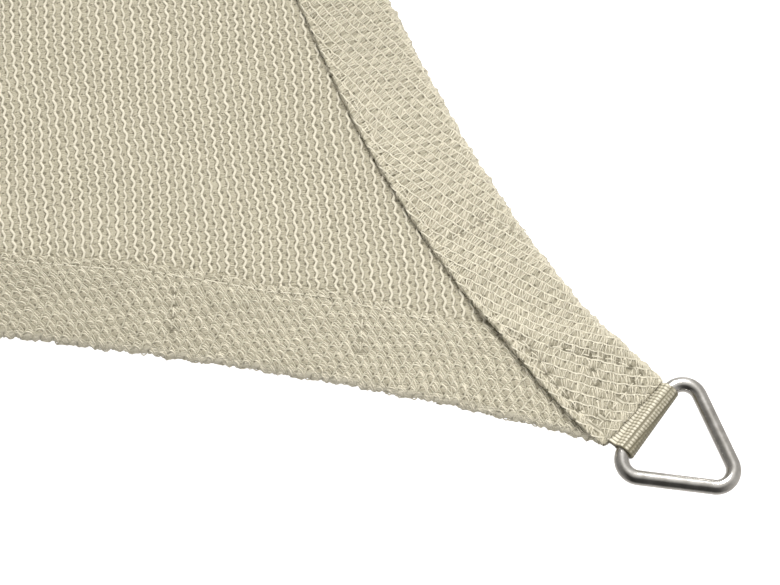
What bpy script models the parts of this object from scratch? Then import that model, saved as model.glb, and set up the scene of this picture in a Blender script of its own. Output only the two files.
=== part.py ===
"""Square shade sail of knitted cloth, laid flat, with a triangular wire ring at each corner.

Metres, +Z up, the underside of the cloth at z = 0 and the middle of the sail at the origin.
The sail is the same every quarter turn. Side 0 is the one at -Y and runs towards +X, and each
further side is side 0 turned by 90 degrees. Every hem starts at a ring, where it laps over the
end of the hem before it, and ends under the hem after it.
"""

import math

import bmesh
import bpy
import numpy as np
from mathutils import Matrix, Vector

MM = 0.001
CORNERS = 4
QUARTER_TURN = math.pi / 2

# Cloth edge of one side, measured along the straight chord between two corners
CHORD_LEVEL = 1021 * MM          # chord's distance from the middle of the sail
CHORD_START = -1005 * MM
CHORD_END = 995.5 * MM
CHORD_LENGTH = CHORD_END - CHORD_START
SAG = 159 * MM                   # how far the edge curves in at the middle of the side
START_FLARE = 27 * MM            # extra draw-in beside the ring where the hem starts
START_REACH = 50 * MM
END_FLARE = 11 * MM              # the same where the hem ends under the next one
END_REACH = 70 * MM
CLOTH_END = 1.2 * MM             # where the cloth stops short of the ring, along the chord

# Cloth
BODY_THICKNESS = 1.3 * MM        # one layer of the knit
FOOT_OFFSET = 31 * MM            # where a hem's inner step has come down to the single layer
HEM_PROFILE = (                  # (distance in from the edge, height of the top), in mm
    (0.0, 1.9),                  # rolled edge
    (1.6, 3.3),                  # shoulder of the fold
    (8.0, 3.6),                  # crown
    (16.0, 3.3),                 # middle
    (24.0, 3.4),                 # rise before the seam
    (27.3, 2.6),                 # groove of the seam
    (30.0, 3.0),                 # raised inner edge
)
LAP_RISE = 2.4 * MM              # lift of a hem where it lies over the end of the hem before it
LAP_RUN_IN = 30 * MM             # the covered hem's width
LAP_FADE = 8 * MM
BODY_CELLS = 26                  # cells along a side between two corners
CELL_GRADING = 0.75              # 0 gives even cells, 1 gives the finest cells beside the corners

# Low soft ridges that the laid cloth keeps: middle, direction, half length, half width and height
RIPPLE_COLUMNS = ("x_mm", "y_mm", "degrees", "half_length_mm", "half_width_mm", "height_mm")
RIPPLES = (
    (-430, -560, 14, 420, 130, 7.0),
    (430, 330, 52, 380, 140, 8.5),
    (-520, 330, -38, 430, 140, 7.5),
    (620, -170, 78, 330, 120, 6.0),
    (-90, 640, -8, 380, 130, 6.5),
)
RIPPLE_FLOOR = 1.5 * MM          # the part of each ridge too low to lift the cloth

# Corner ring: round wire bent into a triangle with equal sides
WIRE_RADIUS = 2.5 * MM
RING_SIDE = 45.3 * MM            # between the sharp corners of the wire's centreline
BEND_RADIUS = 5.9 * MM
BEND_STEPS = 7
WIRE_SIDES = 12
RING_HEIGHT = RING_SIDE * math.sqrt(3) / 2

# Corner webbing: wrapped once round the ring's bar, both plies sewn into the hem's end
WEBBING_WIDTH = 26.6 * MM
PLY = 1.2 * MM
CLEARANCE = 0.3 * MM
WRAP_INNER = WIRE_RADIUS + CLEARANCE
WRAP_OUTER = WRAP_INNER + PLY
WRAP_HALF_ANGLE = math.radians(140)
WRAP_STEPS = 16
BAR_TO_CLOTH = 4.8 * MM          # from the middle of the bar's centreline back to the end of the cloth
BAR_INSET = 14.4 * MM            # middle of the bar, in from the hem's outer edge
BAR_SWING = math.radians(4.6)    # the ring has swung a little in its loop
SWING_REACH = WEBBING_WIDTH / 2 * math.tan(BAR_SWING)
TAIL_DEPTH = 14 * MM             # length of the plies inside the hem
TAIL_MIDDLE = 2.8 * MM           # height of the two plies' meeting face above the floor

CLOTH_COLOR = (0.66, 0.61, 0.50)
WEBBING_COLOR = (0.62, 0.57, 0.46)
STEEL_COLOR = (0.60, 0.58, 0.55)


def clear_scene():
    for item in list(bpy.data.objects):
        bpy.data.objects.remove(item, do_unlink=True)


def make_material(name, color, roughness, metallic):
    material = bpy.data.materials.new(name)
    material.use_nodes = True
    shader = material.node_tree.nodes["Principled BSDF"]
    shader.inputs["Base Color"].default_value = (*color, 1.0)
    shader.inputs["Roughness"].default_value = roughness
    shader.inputs["Metallic"].default_value = metallic
    material.diffuse_color = (*color, 1.0)
    return material


def add_object(name, mesh_builder, material, smooth_degrees=40):
    mesh = bpy.data.meshes.new(name)
    mesh_builder.to_mesh(mesh)
    mesh_builder.free()
    mesh.materials.append(material)
    mesh.shade_smooth()
    mesh.set_sharp_from_angle(angle=math.radians(smooth_degrees))
    item = bpy.data.objects.new(name, mesh)
    bpy.context.scene.collection.objects.link(item)
    return item


# ---------------------------------------------------------------- outline of the sail

def edge_rise(along):
    """Height of side 0's edge above its chord: a parabola plus a draw-in that dies out from each ring."""
    left = CHORD_LENGTH - along
    parabola = 4 * SAG * along * left / CHORD_LENGTH ** 2
    flares = START_FLARE * (1 - np.exp(-along / START_REACH)) + END_FLARE * (1 - np.exp(-left / END_REACH))
    chord_tilt = (END_FLARE * left + START_FLARE * along) / CHORD_LENGTH
    return parabola + flares - chord_tilt


def edge_slope(along):
    left = CHORD_LENGTH - along
    parabola = 4 * SAG * (CHORD_LENGTH - 2 * along) / CHORD_LENGTH ** 2
    start_flare = START_FLARE / START_REACH * np.exp(-along / START_REACH)
    end_flare = END_FLARE / END_REACH * np.exp(-left / END_REACH)
    return parabola + start_flare - end_flare + (END_FLARE - START_FLARE) / CHORD_LENGTH


def side_point(along, inset):
    """Point of side 0 at a place along its chord, moved square to the edge by the inset."""
    slope = edge_slope(along)
    steepness = np.sqrt(1 + slope ** 2)
    x = CHORD_START + along - inset * slope / steepness
    y = -CHORD_LEVEL + edge_rise(along) + inset / steepness
    return np.stack([x, y], axis=-1)


def turn(points, quarters):
    """Points of side 0 carried round to another side."""
    angle = quarters * QUARTER_TURN
    cosine, sine = round(math.cos(angle)), round(math.sin(angle))
    x, y = points[..., 0], points[..., 1]
    return np.stack([cosine * x - sine * y, sine * x + cosine * y], axis=-1)


def crossing(end_inset, start_inset):
    """Where a line inset from side 0 meets a line inset from side 1: both places along the sides."""
    places = np.array([CHORD_LENGTH - end_inset, start_inset])
    step = 1e-6
    for _ in range(20):
        def miss(pair):
            return side_point(pair[0], end_inset) - turn(side_point(pair[1], start_inset), 1)
        here = miss(places)
        jacobian = np.column_stack([(miss(places + step * unit) - here) / step for unit in np.eye(2)])
        places = places - np.linalg.solve(jacobian, here)
    return places


# ---------------------------------------------------------------- sail panel

def graded(count):
    """Numbers from 0 to 1 whose steps are shortest at both ends."""
    even = np.linspace(0, 1, count + 1)
    rounded = (1 - np.cos(math.pi * even)) / 2
    return CELL_GRADING * rounded + (1 - CELL_GRADING) * even


def lift(points):
    """How far the laid cloth stands off the floor: soft ridges with flat cloth between them."""
    total = np.zeros(points.shape[:-1])
    for row in RIPPLES:
        ridge = dict(zip(RIPPLE_COLUMNS, row))
        angle = math.radians(ridge["degrees"])
        x = points[..., 0] - ridge["x_mm"] * MM
        y = points[..., 1] - ridge["y_mm"] * MM
        lengthwise = (x * math.cos(angle) + y * math.sin(angle)) / (ridge["half_length_mm"] * MM)
        crosswise = (y * math.cos(angle) - x * math.sin(angle)) / (ridge["half_width_mm"] * MM)
        swell = ridge["height_mm"] * MM * np.exp(-lengthwise ** 2 - crosswise ** 2)
        total = total + np.maximum(swell - RIPPLE_FLOOR, 0)
    return total


def lap_rise(points):
    """Lift of side 0's hem where the hem before it lies underneath, beside the hem's start."""
    before = turn(points, 1)
    along = np.clip(before[..., 0] - CHORD_START, 0, CHORD_LENGTH)
    inset = (before[..., 1] + CHORD_LEVEL - edge_rise(along)) / np.sqrt(1 + edge_slope(along) ** 2)
    beside_start = points[..., 0] < 0
    return LAP_RISE * np.clip((LAP_RUN_IN + LAP_FADE - inset) / LAP_FADE, 0, 1) * beside_start


def side_grid():
    """Top of side 0's hem: stations from its start to its end, columns from the edge to the foot.

    The first station is the cut end of the cloth. The next ones and the last one lie where the
    columns of two hems cross, so that each hem joins the one after it along that hem's foot line.
    """
    insets = np.array([column[0] * MM for column in HEM_PROFILE] + [FOOT_OFFSET])
    heights = np.array([column[1] * MM for column in HEM_PROFILE] + [BODY_THICKNESS])
    crossings = np.array([crossing(inset, FOOT_OFFSET) for inset in insets])
    lap_stations = crossings[:, 1]
    open_stations = lap_stations[-1] + graded(BODY_CELLS)[1:, None] * (crossings[:, 0] - lap_stations[-1])
    square_stations = np.concatenate([[CLOTH_END], lap_stations])
    along = np.vstack([np.repeat(square_stations[:, None], len(insets), axis=1), open_stations])
    plan = side_point(along, insets[None, :])
    top = np.repeat(heights[None, :], len(along), axis=0)
    top[:, :-1] += lap_rise(plan[:, :-1])
    top[0, -1] = heights[0]
    top[1:1 + len(insets), -1] = heights
    return np.concatenate([plan, top[..., None]], axis=-1)


def body_grid(foot_line):
    """Single layer between the four foot lines, blended from its four borders."""
    bottom, right, top, left = (turn(foot_line, quarters) for quarters in range(CORNERS))
    top, left = top[::-1], left[::-1]
    u = graded(BODY_CELLS)[:, None, None]
    v = graded(BODY_CELLS)[None, :, None]
    across = (1 - v) * bottom[:, None] + v * top[:, None]
    upward = (1 - u) * left[None, :] + u * right[None, :]
    corners = ((1 - u) * (1 - v) * bottom[0] + u * (1 - v) * bottom[-1]
               + (1 - u) * v * top[0] + u * v * top[-1])
    plan = across + upward - corners
    return np.concatenate([plan, np.full(plan.shape[:2] + (1,), BODY_THICKNESS)], axis=-1)


def add_grid(builder, grid):
    """Quads over a grid of points, facing up."""
    rows, columns = grid.shape[:2]
    points = [[builder.verts.new(point) for point in row] for row in grid.tolist()]
    for i in range(rows - 1):
        for j in range(columns - 1):
            builder.faces.new((points[i][j], points[i + 1][j], points[i + 1][j + 1], points[i][j + 1]))


def close_sheet(builder):
    """Give the welded top a matching underside and a wall all round, and lift both over the ridges."""
    plan = np.array([vertex.co.xy for vertex in builder.verts])
    raised = lift(plan)
    top = list(builder.verts)
    under = {}
    for vertex, height in zip(top, raised.tolist()):
        under[vertex] = builder.verts.new((vertex.co.x, vertex.co.y, height))
        vertex.co.z += height
    rim = [loop for face in builder.faces for loop in face.loops if loop.edge.is_boundary]
    walls = [(loop.vert, loop.link_loop_next.vert) for loop in rim]
    for face in list(builder.faces):
        builder.faces.new([under[vertex] for vertex in reversed(face.verts)])
    for first, second in walls:
        builder.faces.new((second, first, under[first], under[second]))


def make_sail_panel(material):
    builder = bmesh.new()
    hem = side_grid()
    first_body_station = len(HEM_PROFILE) + 1
    for quarters in range(CORNERS):
        turned = np.concatenate([turn(hem[..., :2], quarters), hem[..., 2:]], axis=-1)
        add_grid(builder, turned)
    add_grid(builder, body_grid(hem[first_body_station:, -1, :2]))
    bmesh.ops.remove_doubles(builder, verts=builder.verts, dist=0.02 * MM)
    close_sheet(builder)
    bmesh.ops.triangulate(builder, faces=builder.faces)
    return add_object("sail_panel", builder, material)


# ---------------------------------------------------------------- corner hardware

def corner_frame(quarters):
    """Frame of a corner: origin under the bar's middle, X along the bar, Y away from the sail."""
    heading = math.atan(edge_slope(CLOTH_END))
    middle = side_point(CLOTH_END, BAR_INSET)
    bar = Vector((middle[0] - BAR_TO_CLOTH * math.cos(heading), middle[1] - BAR_TO_CLOTH * math.sin(heading), 0))
    quarter = Matrix.Rotation(quarters * QUARTER_TURN, 4, "Z")
    return quarter @ Matrix.Translation(bar) @ Matrix.Rotation(heading + QUARTER_TURN + BAR_SWING, 4, "Z")


def ring_path():
    """Centreline of the ring in its own plane, with the bar along X: points and outward directions."""
    middle = np.array([0.0, RING_HEIGHT / 3])
    points, outward = [], []
    for corner in range(3):
        facing = QUARTER_TURN + corner * 2 * math.pi / 3
        to_corner = np.array([math.cos(facing), math.sin(facing)])
        bend_centre = middle + to_corner * (RING_HEIGHT * 2 / 3 - 2 * BEND_RADIUS)
        for step in range(BEND_STEPS + 1):
            angle = facing + (step / BEND_STEPS - 0.5) * 2 * math.pi / 3
            direction = np.array([math.cos(angle), math.sin(angle)])
            points.append(bend_centre + BEND_RADIUS * direction)
            outward.append(direction)
    return points, outward


def make_corner_ring(number, material):
    """Round wire round the path. Flat facets of the section face inwards, where a hook would pull."""
    builder = bmesh.new()
    loops = []
    for point, direction in zip(*ring_path()):
        loop = []
        for side in range(WIRE_SIDES):
            angle = (side + 0.5) * 2 * math.pi / WIRE_SIDES
            reach = WIRE_RADIUS * math.cos(angle)
            place = (point[0] + reach * direction[0], point[1] + reach * direction[1], WIRE_RADIUS * math.sin(angle))
            loop.append(builder.verts.new(place))
        loops.append(loop)
    for loop, following in zip(loops, loops[1:] + loops[:1]):
        for side in range(WIRE_SIDES):
            after = (side + 1) % WIRE_SIDES
            builder.faces.new((loop[side], following[side], following[after], loop[after]))
    bmesh.ops.recalc_face_normals(builder, faces=builder.faces)
    ring = add_object(f"corner_ring_{number + 1}", builder, material, smooth_degrees=60)
    apex_reach = RING_HEIGHT - BEND_RADIUS
    droop = math.asin((WRAP_OUTER - WIRE_RADIUS) / apex_reach)
    bar_height = Matrix.Translation((0, 0, WRAP_OUTER))
    ring.matrix_world = corner_frame(number) @ bar_height @ Matrix.Rotation(-droop, 4, "X")
    return ring


def make_corner_webbing(number, material):
    """Cross-section of the wrap and its two plies, drawn across the bar and carried along it."""
    builder = bmesh.new()
    left = -WEBBING_WIDTH / 2
    tail_top = TAIL_MIDDLE + PLY - WRAP_OUTER
    tail_bottom = TAIL_MIDDLE - PLY - WRAP_OUTER
    tail_start = -(BAR_TO_CLOTH - SWING_REACH - CLEARANCE)
    tail_end = -(BAR_TO_CLOTH + TAIL_DEPTH)
    meeting = builder.verts.new((left, -WRAP_OUTER, (tail_top + tail_bottom) / 2))
    neck_top = builder.verts.new((left, tail_start, tail_top))
    neck_bottom = builder.verts.new((left, tail_start, tail_bottom))
    inner, outer = [meeting], [neck_bottom]
    for step in range(WRAP_STEPS + 1):
        angle = (2 * step / WRAP_STEPS - 1) * WRAP_HALF_ANGLE
        across, upward = math.cos(angle), math.sin(angle)
        inner.append(builder.verts.new((left, WRAP_INNER * across, WRAP_INNER * upward)))
        outer.append(builder.verts.new((left, WRAP_OUTER * across, WRAP_OUTER * upward)))
    inner.append(meeting)
    outer.append(neck_top)
    for here in range(len(inner) - 1):
        corners = [inner[here], outer[here], outer[here + 1], inner[here + 1]]
        builder.faces.new(list(dict.fromkeys(corners)))
    tail = [builder.verts.new((left, tail_end, height)) for height in (tail_top, tail_bottom)]
    builder.faces.new([meeting, neck_top, *tail, neck_bottom])
    side_faces = list(builder.faces)
    extruded = bmesh.ops.extrude_face_region(builder, geom=side_faces)
    moved = [item for item in extruded["geom"] if isinstance(item, bmesh.types.BMVert)]
    bmesh.ops.translate(builder, verts=moved, vec=(WEBBING_WIDTH, 0, 0))
    bmesh.ops.recalc_face_normals(builder, faces=builder.faces)
    webbing = add_object(f"corner_webbing_{number + 1}", builder, material)
    webbing.matrix_world = corner_frame(number) @ Matrix.Translation((0, 0, WRAP_OUTER))
    return webbing


def cut_webbing_pockets(panel):
    """Open the end of each hem for the webbing's plies, with the same clearance all round."""
    for number in range(CORNERS):
        builder = bmesh.new()
        size = (WEBBING_WIDTH + 2 * CLEARANCE, 2 * (TAIL_DEPTH + CLEARANCE), 2 * (PLY + CLEARANCE))
        bmesh.ops.create_cube(builder, size=1, matrix=Matrix.Diagonal((*size, 1)))
        cutter = add_object(f"pocket_cutter_{number + 1}", builder, panel.data.materials[0])
        cutter.hide_render = True
        cutter.display_type = "WIRE"
        cutter.matrix_world = corner_frame(number) @ Matrix.Translation((0, -BAR_TO_CLOTH, TAIL_MIDDLE))
        cut = panel.modifiers.new(f"webbing_pocket_{number + 1}", "BOOLEAN")
        cut.operation = "DIFFERENCE"
        cut.object = cutter


clear_scene()
cloth = make_material("shade_cloth", CLOTH_COLOR, 0.85, 0.0)
webbing_yarn = make_material("webbing", WEBBING_COLOR, 0.7, 0.0)
stainless = make_material("stainless_wire", STEEL_COLOR, 0.28, 1.0)
sail_panel = make_sail_panel(cloth)
cut_webbing_pockets(sail_panel)
for corner_number in range(CORNERS):
    make_corner_ring(corner_number, stainless)
    make_corner_webbing(corner_number, webbing_yarn)
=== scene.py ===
"""Square shade sail of knitted cloth, laid flat, seen close to one of its corners.

Metres, +Z up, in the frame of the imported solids. The sections follow the order in which a maker
puts the sail together: the knitted panel, its turned hems, the yarn that the eye can make out near
a corner, the stitching, the webbing, the rings, and then the floor, the light and the camera.
Side 0 of the sail is the one at -Y; side k is side 0 turned by k quarter turns.
"""

import math
from functools import partialmethod

import bpy
import numpy as np
from mathutils import Matrix, Vector


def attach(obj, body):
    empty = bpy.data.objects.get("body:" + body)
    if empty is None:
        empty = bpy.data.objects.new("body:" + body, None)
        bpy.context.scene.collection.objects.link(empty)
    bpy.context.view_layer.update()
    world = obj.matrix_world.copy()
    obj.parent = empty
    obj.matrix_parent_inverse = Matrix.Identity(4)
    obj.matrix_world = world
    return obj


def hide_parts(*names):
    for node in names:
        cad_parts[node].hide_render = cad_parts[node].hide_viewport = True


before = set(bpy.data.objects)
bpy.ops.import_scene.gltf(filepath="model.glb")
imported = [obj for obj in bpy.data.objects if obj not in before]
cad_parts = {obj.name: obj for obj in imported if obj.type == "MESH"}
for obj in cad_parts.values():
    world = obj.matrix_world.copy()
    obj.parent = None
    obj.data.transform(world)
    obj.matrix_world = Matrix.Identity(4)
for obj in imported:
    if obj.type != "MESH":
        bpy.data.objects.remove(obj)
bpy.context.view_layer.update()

# ================================================================ knitted panel
# One cut of warp-knitted shade cloth in cream polyethylene yarn, a single layer 1.3 mm thick.
# It lies on the floor with a few low swells left from folding. Strong and fine chains of
# stitches alternate across it, with thin filaments between them.

MM = 0.001
SIDES = 4
FULL_TURN, QUARTER_TURN = 2 * math.pi, math.pi / 2

CHORD_LEVEL = 1021 * MM
CHORD_START = -1005 * MM
CHORD_END = 995.5 * MM
CHORD_LENGTH = CHORD_END - CHORD_START
SAG = 159 * MM
START_FLARE, START_REACH = 27 * MM, 50 * MM
END_FLARE, END_REACH = 11 * MM, 70 * MM
CLOTH_END = 1.2 * MM             # where the cloth stops short of the ring, along the chord
CLOTH_THICKNESS = 1.3 * MM
PANEL_INSET = 26.4 * MM          # the panel ends just inside the hems' raw edges
PANEL_CELLS = 110
FOOT_STEPS, CROSSING_STEPS, UNWANDER_STEPS, PROBE = 14, 20, 4, 1e-6     # of the searches

RIPPLE_COLUMNS = ("x_mm", "y_mm", "degrees", "half_length_mm", "half_width_mm", "height_mm")
RIPPLES = (
    (-430, -560, 14, 420, 130, 7.0),
    (430, 330, 52, 380, 140, 8.5),
    (-520, 330, -38, 430, 140, 7.5),
    (620, -170, 78, 330, 120, 6.0),
    (-90, 640, -8, 380, 130, 6.5),
)
RIPPLE_FLOOR = 1.5 * MM

WALE_PITCH = 2.94 * MM           # from one chain of stitches to the next
STITCH_LENGTH = 4.15 * MM
WALE_DIRECTION = math.radians(4.6)       # across the chains
STITCH_DIRECTION = math.radians(-91.7)   # down a chain
FIRST_STITCH = np.array([873.7, -891.1]) * MM   # a strong chain's left-hand turn
WANDER_COLUMNS = ("reach_mm", "push_degrees", "wave_x_mm", "wave_y_mm", "phase")
WANDERS = (
    (0.45, 0, 130, 70, 0.4),
    (0.30, 0, -90, 43, 2.1),
    (0.35, 90, 85, 120, 1.0),
    (0.55, 90, 61, 47, 2.9),
    (0.45, 90, -37, 52, 0.2),
)

# The knit's ground colours, fill and tapes, are darker than the yarn on them: painted shade of the hollows
# between the yarns. The darkest colour is painted shade in holes and gaps, and the hems' painted shade by
# place.
PAINTED_SHADE_COLOR = (0.13, 0.117, 0.078)
CLOTH_SHADED_FILL = (0.33, 0.303, 0.223)
CLOTH_FILAMENT = (0.42, 0.388, 0.297)
CLOTH_BRIGHT = (0.60, 0.56, 0.452)
REVERSE_FILL = (0.455, 0.42, 0.32)
REVERSE_TAPE = (0.30, 0.276, 0.202)
OPEN_LIGHT = 0.30                # share of bright yarn on a hem where none is made for itself
CLOTH_ROUGHNESS, CLOTH_SPECULAR = 0.62, 0.25

# The motif repeats over two chains and one stitch. Its soft ovals: place in chains from a strong one
# and in stitches, then half width and half length in the same
# The face's ovals are painted shade in its hollows
FACE_SPOTS = ((0.26, 0.06, 0.20, 0.17), (0.82, 0.52, 0.15, 0.16),
              (1.36, 0.0, 0.15, 0.11), (1.82, 0.66, 0.17, 0.17))
# The reverse's first ovals are painted shade in its small gaps
REVERSE_SPOTS = ((0.16, 0.15, 0.19, 0.13), (0.84, 0.90, 0.16, 0.12),
                 (1.16, 0.66, 0.19, 0.13), (1.84, 0.38, 0.16, 0.12))
REVERSE_TAPES = ((0.45, 0.03, 0.42, 0.21), (1.55, 0.53, 0.42, 0.21))
SPOT_RIM = 0.7                           # an oval's height above its rim where it is full
TURN_SHARE = 0.55                        # of a stitch, from its left-hand turn to its right-hand one
STRONG_PHASE, FINE_PHASE = 0.5, 0.0      # of the two kinds of chains, in pairs of chains
# A drawn chain in mm: where it thins out beside its line, its sway, and how much of that is to the left
STRONG_LINE, STRONG_SWAY = (0.30, 0.58), (1.12, 0.50)
FINE_LINE, FINE_SWAY = (0.18, 0.46), (0.72, 0.34)
STREAK_CELLS, STREAK_SPREAD = (1.1, 11.0), (0.38, 0.62)    # in a chain and in a stitch
SHAKE_CELLS, SHAKE = 1.3, (0.22, 0.3)    # how far the drawn knit is shaken, in chains and in stitches
CLOUD_CELLS, CLOUD_SPREAD = 16.0, (0.3, 0.7)               # in a metre
FACE_COLOR_SHARES = {"streaks": 0.8, "cloud": 0.2, "hollow": 0.75, "fine": 0.55, "strong": 0.9}
FACE_RELIEF, FACE_RELIEF_SHARES = 0.45 * MM, {"streaks": 0.2, "hollow": 0.3, "fine": 0.6}


def edge_rise(along):
    """Side 0's edge above its chord: a parabola, plus a draw-in that dies out from each ring."""
    left = CHORD_LENGTH - along
    parabola = 4 * SAG * along * left / CHORD_LENGTH ** 2
    flares = START_FLARE * (1 - np.exp(-along / START_REACH)) + END_FLARE * (1 - np.exp(-left / END_REACH))
    return parabola + flares - (END_FLARE * left + START_FLARE * along) / CHORD_LENGTH


def edge_slope(along):
    """Derivative of edge_rise."""
    left = CHORD_LENGTH - along
    return (4 * SAG * (CHORD_LENGTH - 2 * along) / CHORD_LENGTH ** 2
            + START_FLARE / START_REACH * np.exp(-along / START_REACH)
            - END_FLARE / END_REACH * np.exp(-left / END_REACH) + (END_FLARE - START_FLARE) / CHORD_LENGTH)


def side_point(along, inset):
    """Point of side 0 at a place along its chord, moved square to the edge by the inset."""
    slope = edge_slope(along)
    steepness = np.sqrt(1 + slope ** 2)
    x = CHORD_START + along - inset * slope / steepness
    y = -CHORD_LEVEL + edge_rise(along) + inset / steepness
    return np.stack([x, y], axis=-1)


def plan_unit(angle):
    """Unit vector in the plan, at an angle from +X."""
    return np.array([math.cos(angle), math.sin(angle)])


def turn(points, quarters):
    """Plan points turned round the middle of the sail by a number of quarter turns."""
    cosine, sine = round(math.cos(quarters * QUARTER_TURN)), round(math.sin(quarters * QUARTER_TURN))
    x, y = points[..., 0], points[..., 1]
    return np.stack([cosine * x - sine * y, sine * x + cosine * y], axis=-1)


def side_place(points, quarters):
    """Place along a side and inset from it: the foot of the square to the edge, by steps on its tangent."""
    local = turn(points, -quarters)
    along = np.clip(local[..., 0] - CHORD_START, 0, CHORD_LENGTH)
    for _ in range(FOOT_STEPS):
        slope = edge_slope(along)
        gap = local - side_point(along, 0.0)
        along = along + (gap[..., 0] + gap[..., 1] * slope) / (1 + slope ** 2)
    slope = edge_slope(along)
    gap = local - side_point(along, 0.0)
    return along, (gap[..., 1] - gap[..., 0] * slope) / np.sqrt(1 + slope ** 2)


def crossing(end_inset, start_inset):
    """Where a line inset from side 0 meets a line inset from side 1, by Newton's method: places along both."""
    places = np.array([CHORD_LENGTH - end_inset, start_inset])

    def miss(pair):
        return side_point(pair[0], end_inset) - turn(side_point(pair[1], start_inset), 1)

    for _ in range(CROSSING_STEPS):
        here = miss(places)
        jacobian = np.column_stack([(miss(places + way) - here) / PROBE for way in PROBE * np.eye(2)])
        places = places - np.linalg.solve(jacobian, here)
    return places


def lift(points):
    """Height of the laid cloth's underside: soft ridges with flat cloth between them."""
    total = np.zeros(points.shape[:-1])
    for row in RIPPLES:
        ridge = dict(zip(RIPPLE_COLUMNS, row))
        angle = math.radians(ridge["degrees"])
        x = points[..., 0] - ridge["x_mm"] * MM
        y = points[..., 1] - ridge["y_mm"] * MM
        lengthwise = (x * math.cos(angle) + y * math.sin(angle)) / (ridge["half_length_mm"] * MM)
        crosswise = (y * math.cos(angle) - x * math.sin(angle)) / (ridge["half_width_mm"] * MM)
        swell = ridge["height_mm"] * MM * np.exp(-lengthwise ** 2 - crosswise ** 2)
        total = total + np.maximum(swell - RIPPLE_FLOOR, 0)
    return total


def wander(points):
    """How far the knit strays from a straight lattice: a sum of slow waves, zero at the first stitch."""
    total = np.zeros(points.shape)
    for row in WANDERS:
        wave = dict(zip(WANDER_COLUMNS, row))
        angle = math.radians(wave["push_degrees"])
        push = wave["reach_mm"] * MM * plan_unit(angle)
        turns = FULL_TURN / MM * np.array([1 / wave["wave_x_mm"], 1 / wave["wave_y_mm"]])
        swing = np.sin(points @ turns + wave["phase"]) - math.sin(FIRST_STITCH @ turns + wave["phase"])
        total = total + swing[..., None] * push
    return total


KNIT = np.array([WALE_PITCH * plan_unit(WALE_DIRECTION), STITCH_LENGTH * plan_unit(STITCH_DIRECTION)])


def knit_numbers(points):
    """Chain and stitch numbers of a point of the flat cloth, measured along the two directions of the knit."""
    return (points + wander(points) - FIRST_STITCH) @ np.linalg.inv(KNIT)


def knit_points(numbers):
    """The reverse of knit_numbers, by taking the wander off again in a few rounds."""
    straight = numbers @ KNIT + FIRST_STITCH
    points = straight
    for _ in range(UNWANDER_STEPS):
        points = straight - wander(points)
    return points


# The patch of cloth beside the photographed corner, whose yarn is made for itself
PATCH_MIDDLE = np.array([936.1, -958.7]) * MM
PATCH_TURN = math.radians(-8.775)
PATCH_HALF_WIDTH, PATCH_HALF_DEPTH = 158 * MM, 128 * MM
PATCH_RIM = 22 * MM
PATCH_RIGHT = plan_unit(PATCH_TURN)
PATCH_UP = turn(PATCH_RIGHT, 1)


def patch_share(points):
    """1 inside the patch, falling smoothly to 0 at its rim."""
    local = points - PATCH_MIDDLE
    beside = PATCH_HALF_WIDTH - np.abs(local @ PATCH_RIGHT)
    ahead = PATCH_HALF_DEPTH - np.abs(local @ PATCH_UP)
    share = np.clip(np.minimum(beside, ahead) / PATCH_RIM, 0, 1)
    return share * share * (3 - 2 * share)


def grid_quads(index, closed_columns=False):
    """Quads over a grid of vertex numbers, facing the side from which rows run right and columns run up."""
    following = np.roll(index, -1, axis=-1) if closed_columns else index[..., 1:]
    here = index if closed_columns else index[..., :-1]
    corners = [here[..., :-1, :], here[..., 1:, :], following[..., 1:, :], following[..., :-1, :]]
    return np.stack(corners, axis=-1).reshape(-1, 4)


def numbered(*shape):
    """Vertex numbers of a grid of points."""
    return np.arange(math.prod(shape)).reshape(shape)


def add_piece(name, points, polygons, material, layers=None, tone=None):
    """A mesh object from a point array and polygon arrays of equal corner count, riding on the sail."""
    mesh = bpy.data.meshes.new(name)
    corners = np.concatenate([block.ravel() for block in polygons])
    totals = np.concatenate([np.full(len(block), block.shape[1]) for block in polygons])
    mesh.vertices.add(len(points))
    mesh.vertices.foreach_set("co", np.asarray(points, np.float32).ravel())
    mesh.loops.add(len(corners))
    mesh.loops.foreach_set("vertex_index", corners.astype(np.int32))
    mesh.polygons.add(len(totals))
    mesh.polygons.foreach_set("loop_start", (np.cumsum(totals) - totals).astype(np.int32))
    mesh.update(calc_edges=True)
    for layer_name, values in (layers or {}).items():
        layer = mesh.uv_layers.new(name=layer_name)
        layer.data.foreach_set("uv", np.asarray(values, np.float32)[corners].ravel())
    if tone is not None:
        attribute = mesh.attributes.new("tone", "FLOAT", "POINT")
        attribute.data.foreach_set("value", np.asarray(tone, np.float32).ravel())
    mesh.shade_smooth()
    mesh.validate()
    mesh.materials.append(material)
    piece = bpy.data.objects.new(name, mesh)
    bpy.context.scene.collection.objects.link(piece)
    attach(piece, "root")
    return piece


class Socket:
    """What comes out of a node. Arithmetic on it adds Math nodes."""

    def __init__(self, nodes, output):
        self.nodes, self.output = nodes, output

    def math(self, operation, *values, clamp=False):
        sockets = dict(enumerate((self,) + values))
        return self.nodes.node("ShaderNodeMath", {"operation": operation, "use_clamp": clamp}, sockets)

    __add__ = __radd__ = partialmethod(math, "ADD")
    __sub__ = partialmethod(math, "SUBTRACT")
    __mul__ = __rmul__ = partialmethod(math, "MULTIPLY")
    __truediv__ = partialmethod(math, "DIVIDE")
    fraction = partialmethod(math, "FRACT")
    size = partialmethod(math, "ABSOLUTE")
    lower = partialmethod(math, "MINIMUM")
    higher = partialmethod(math, "MAXIMUM")

    def __rsub__(self, other):
        return self * -1 + other

    def climb(self, low, high):
        """0 at low and 1 at high, straight between them and level beyond."""
        return ((self - low) / (high - low)).math("ADD", 0, clamp=True)


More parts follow.
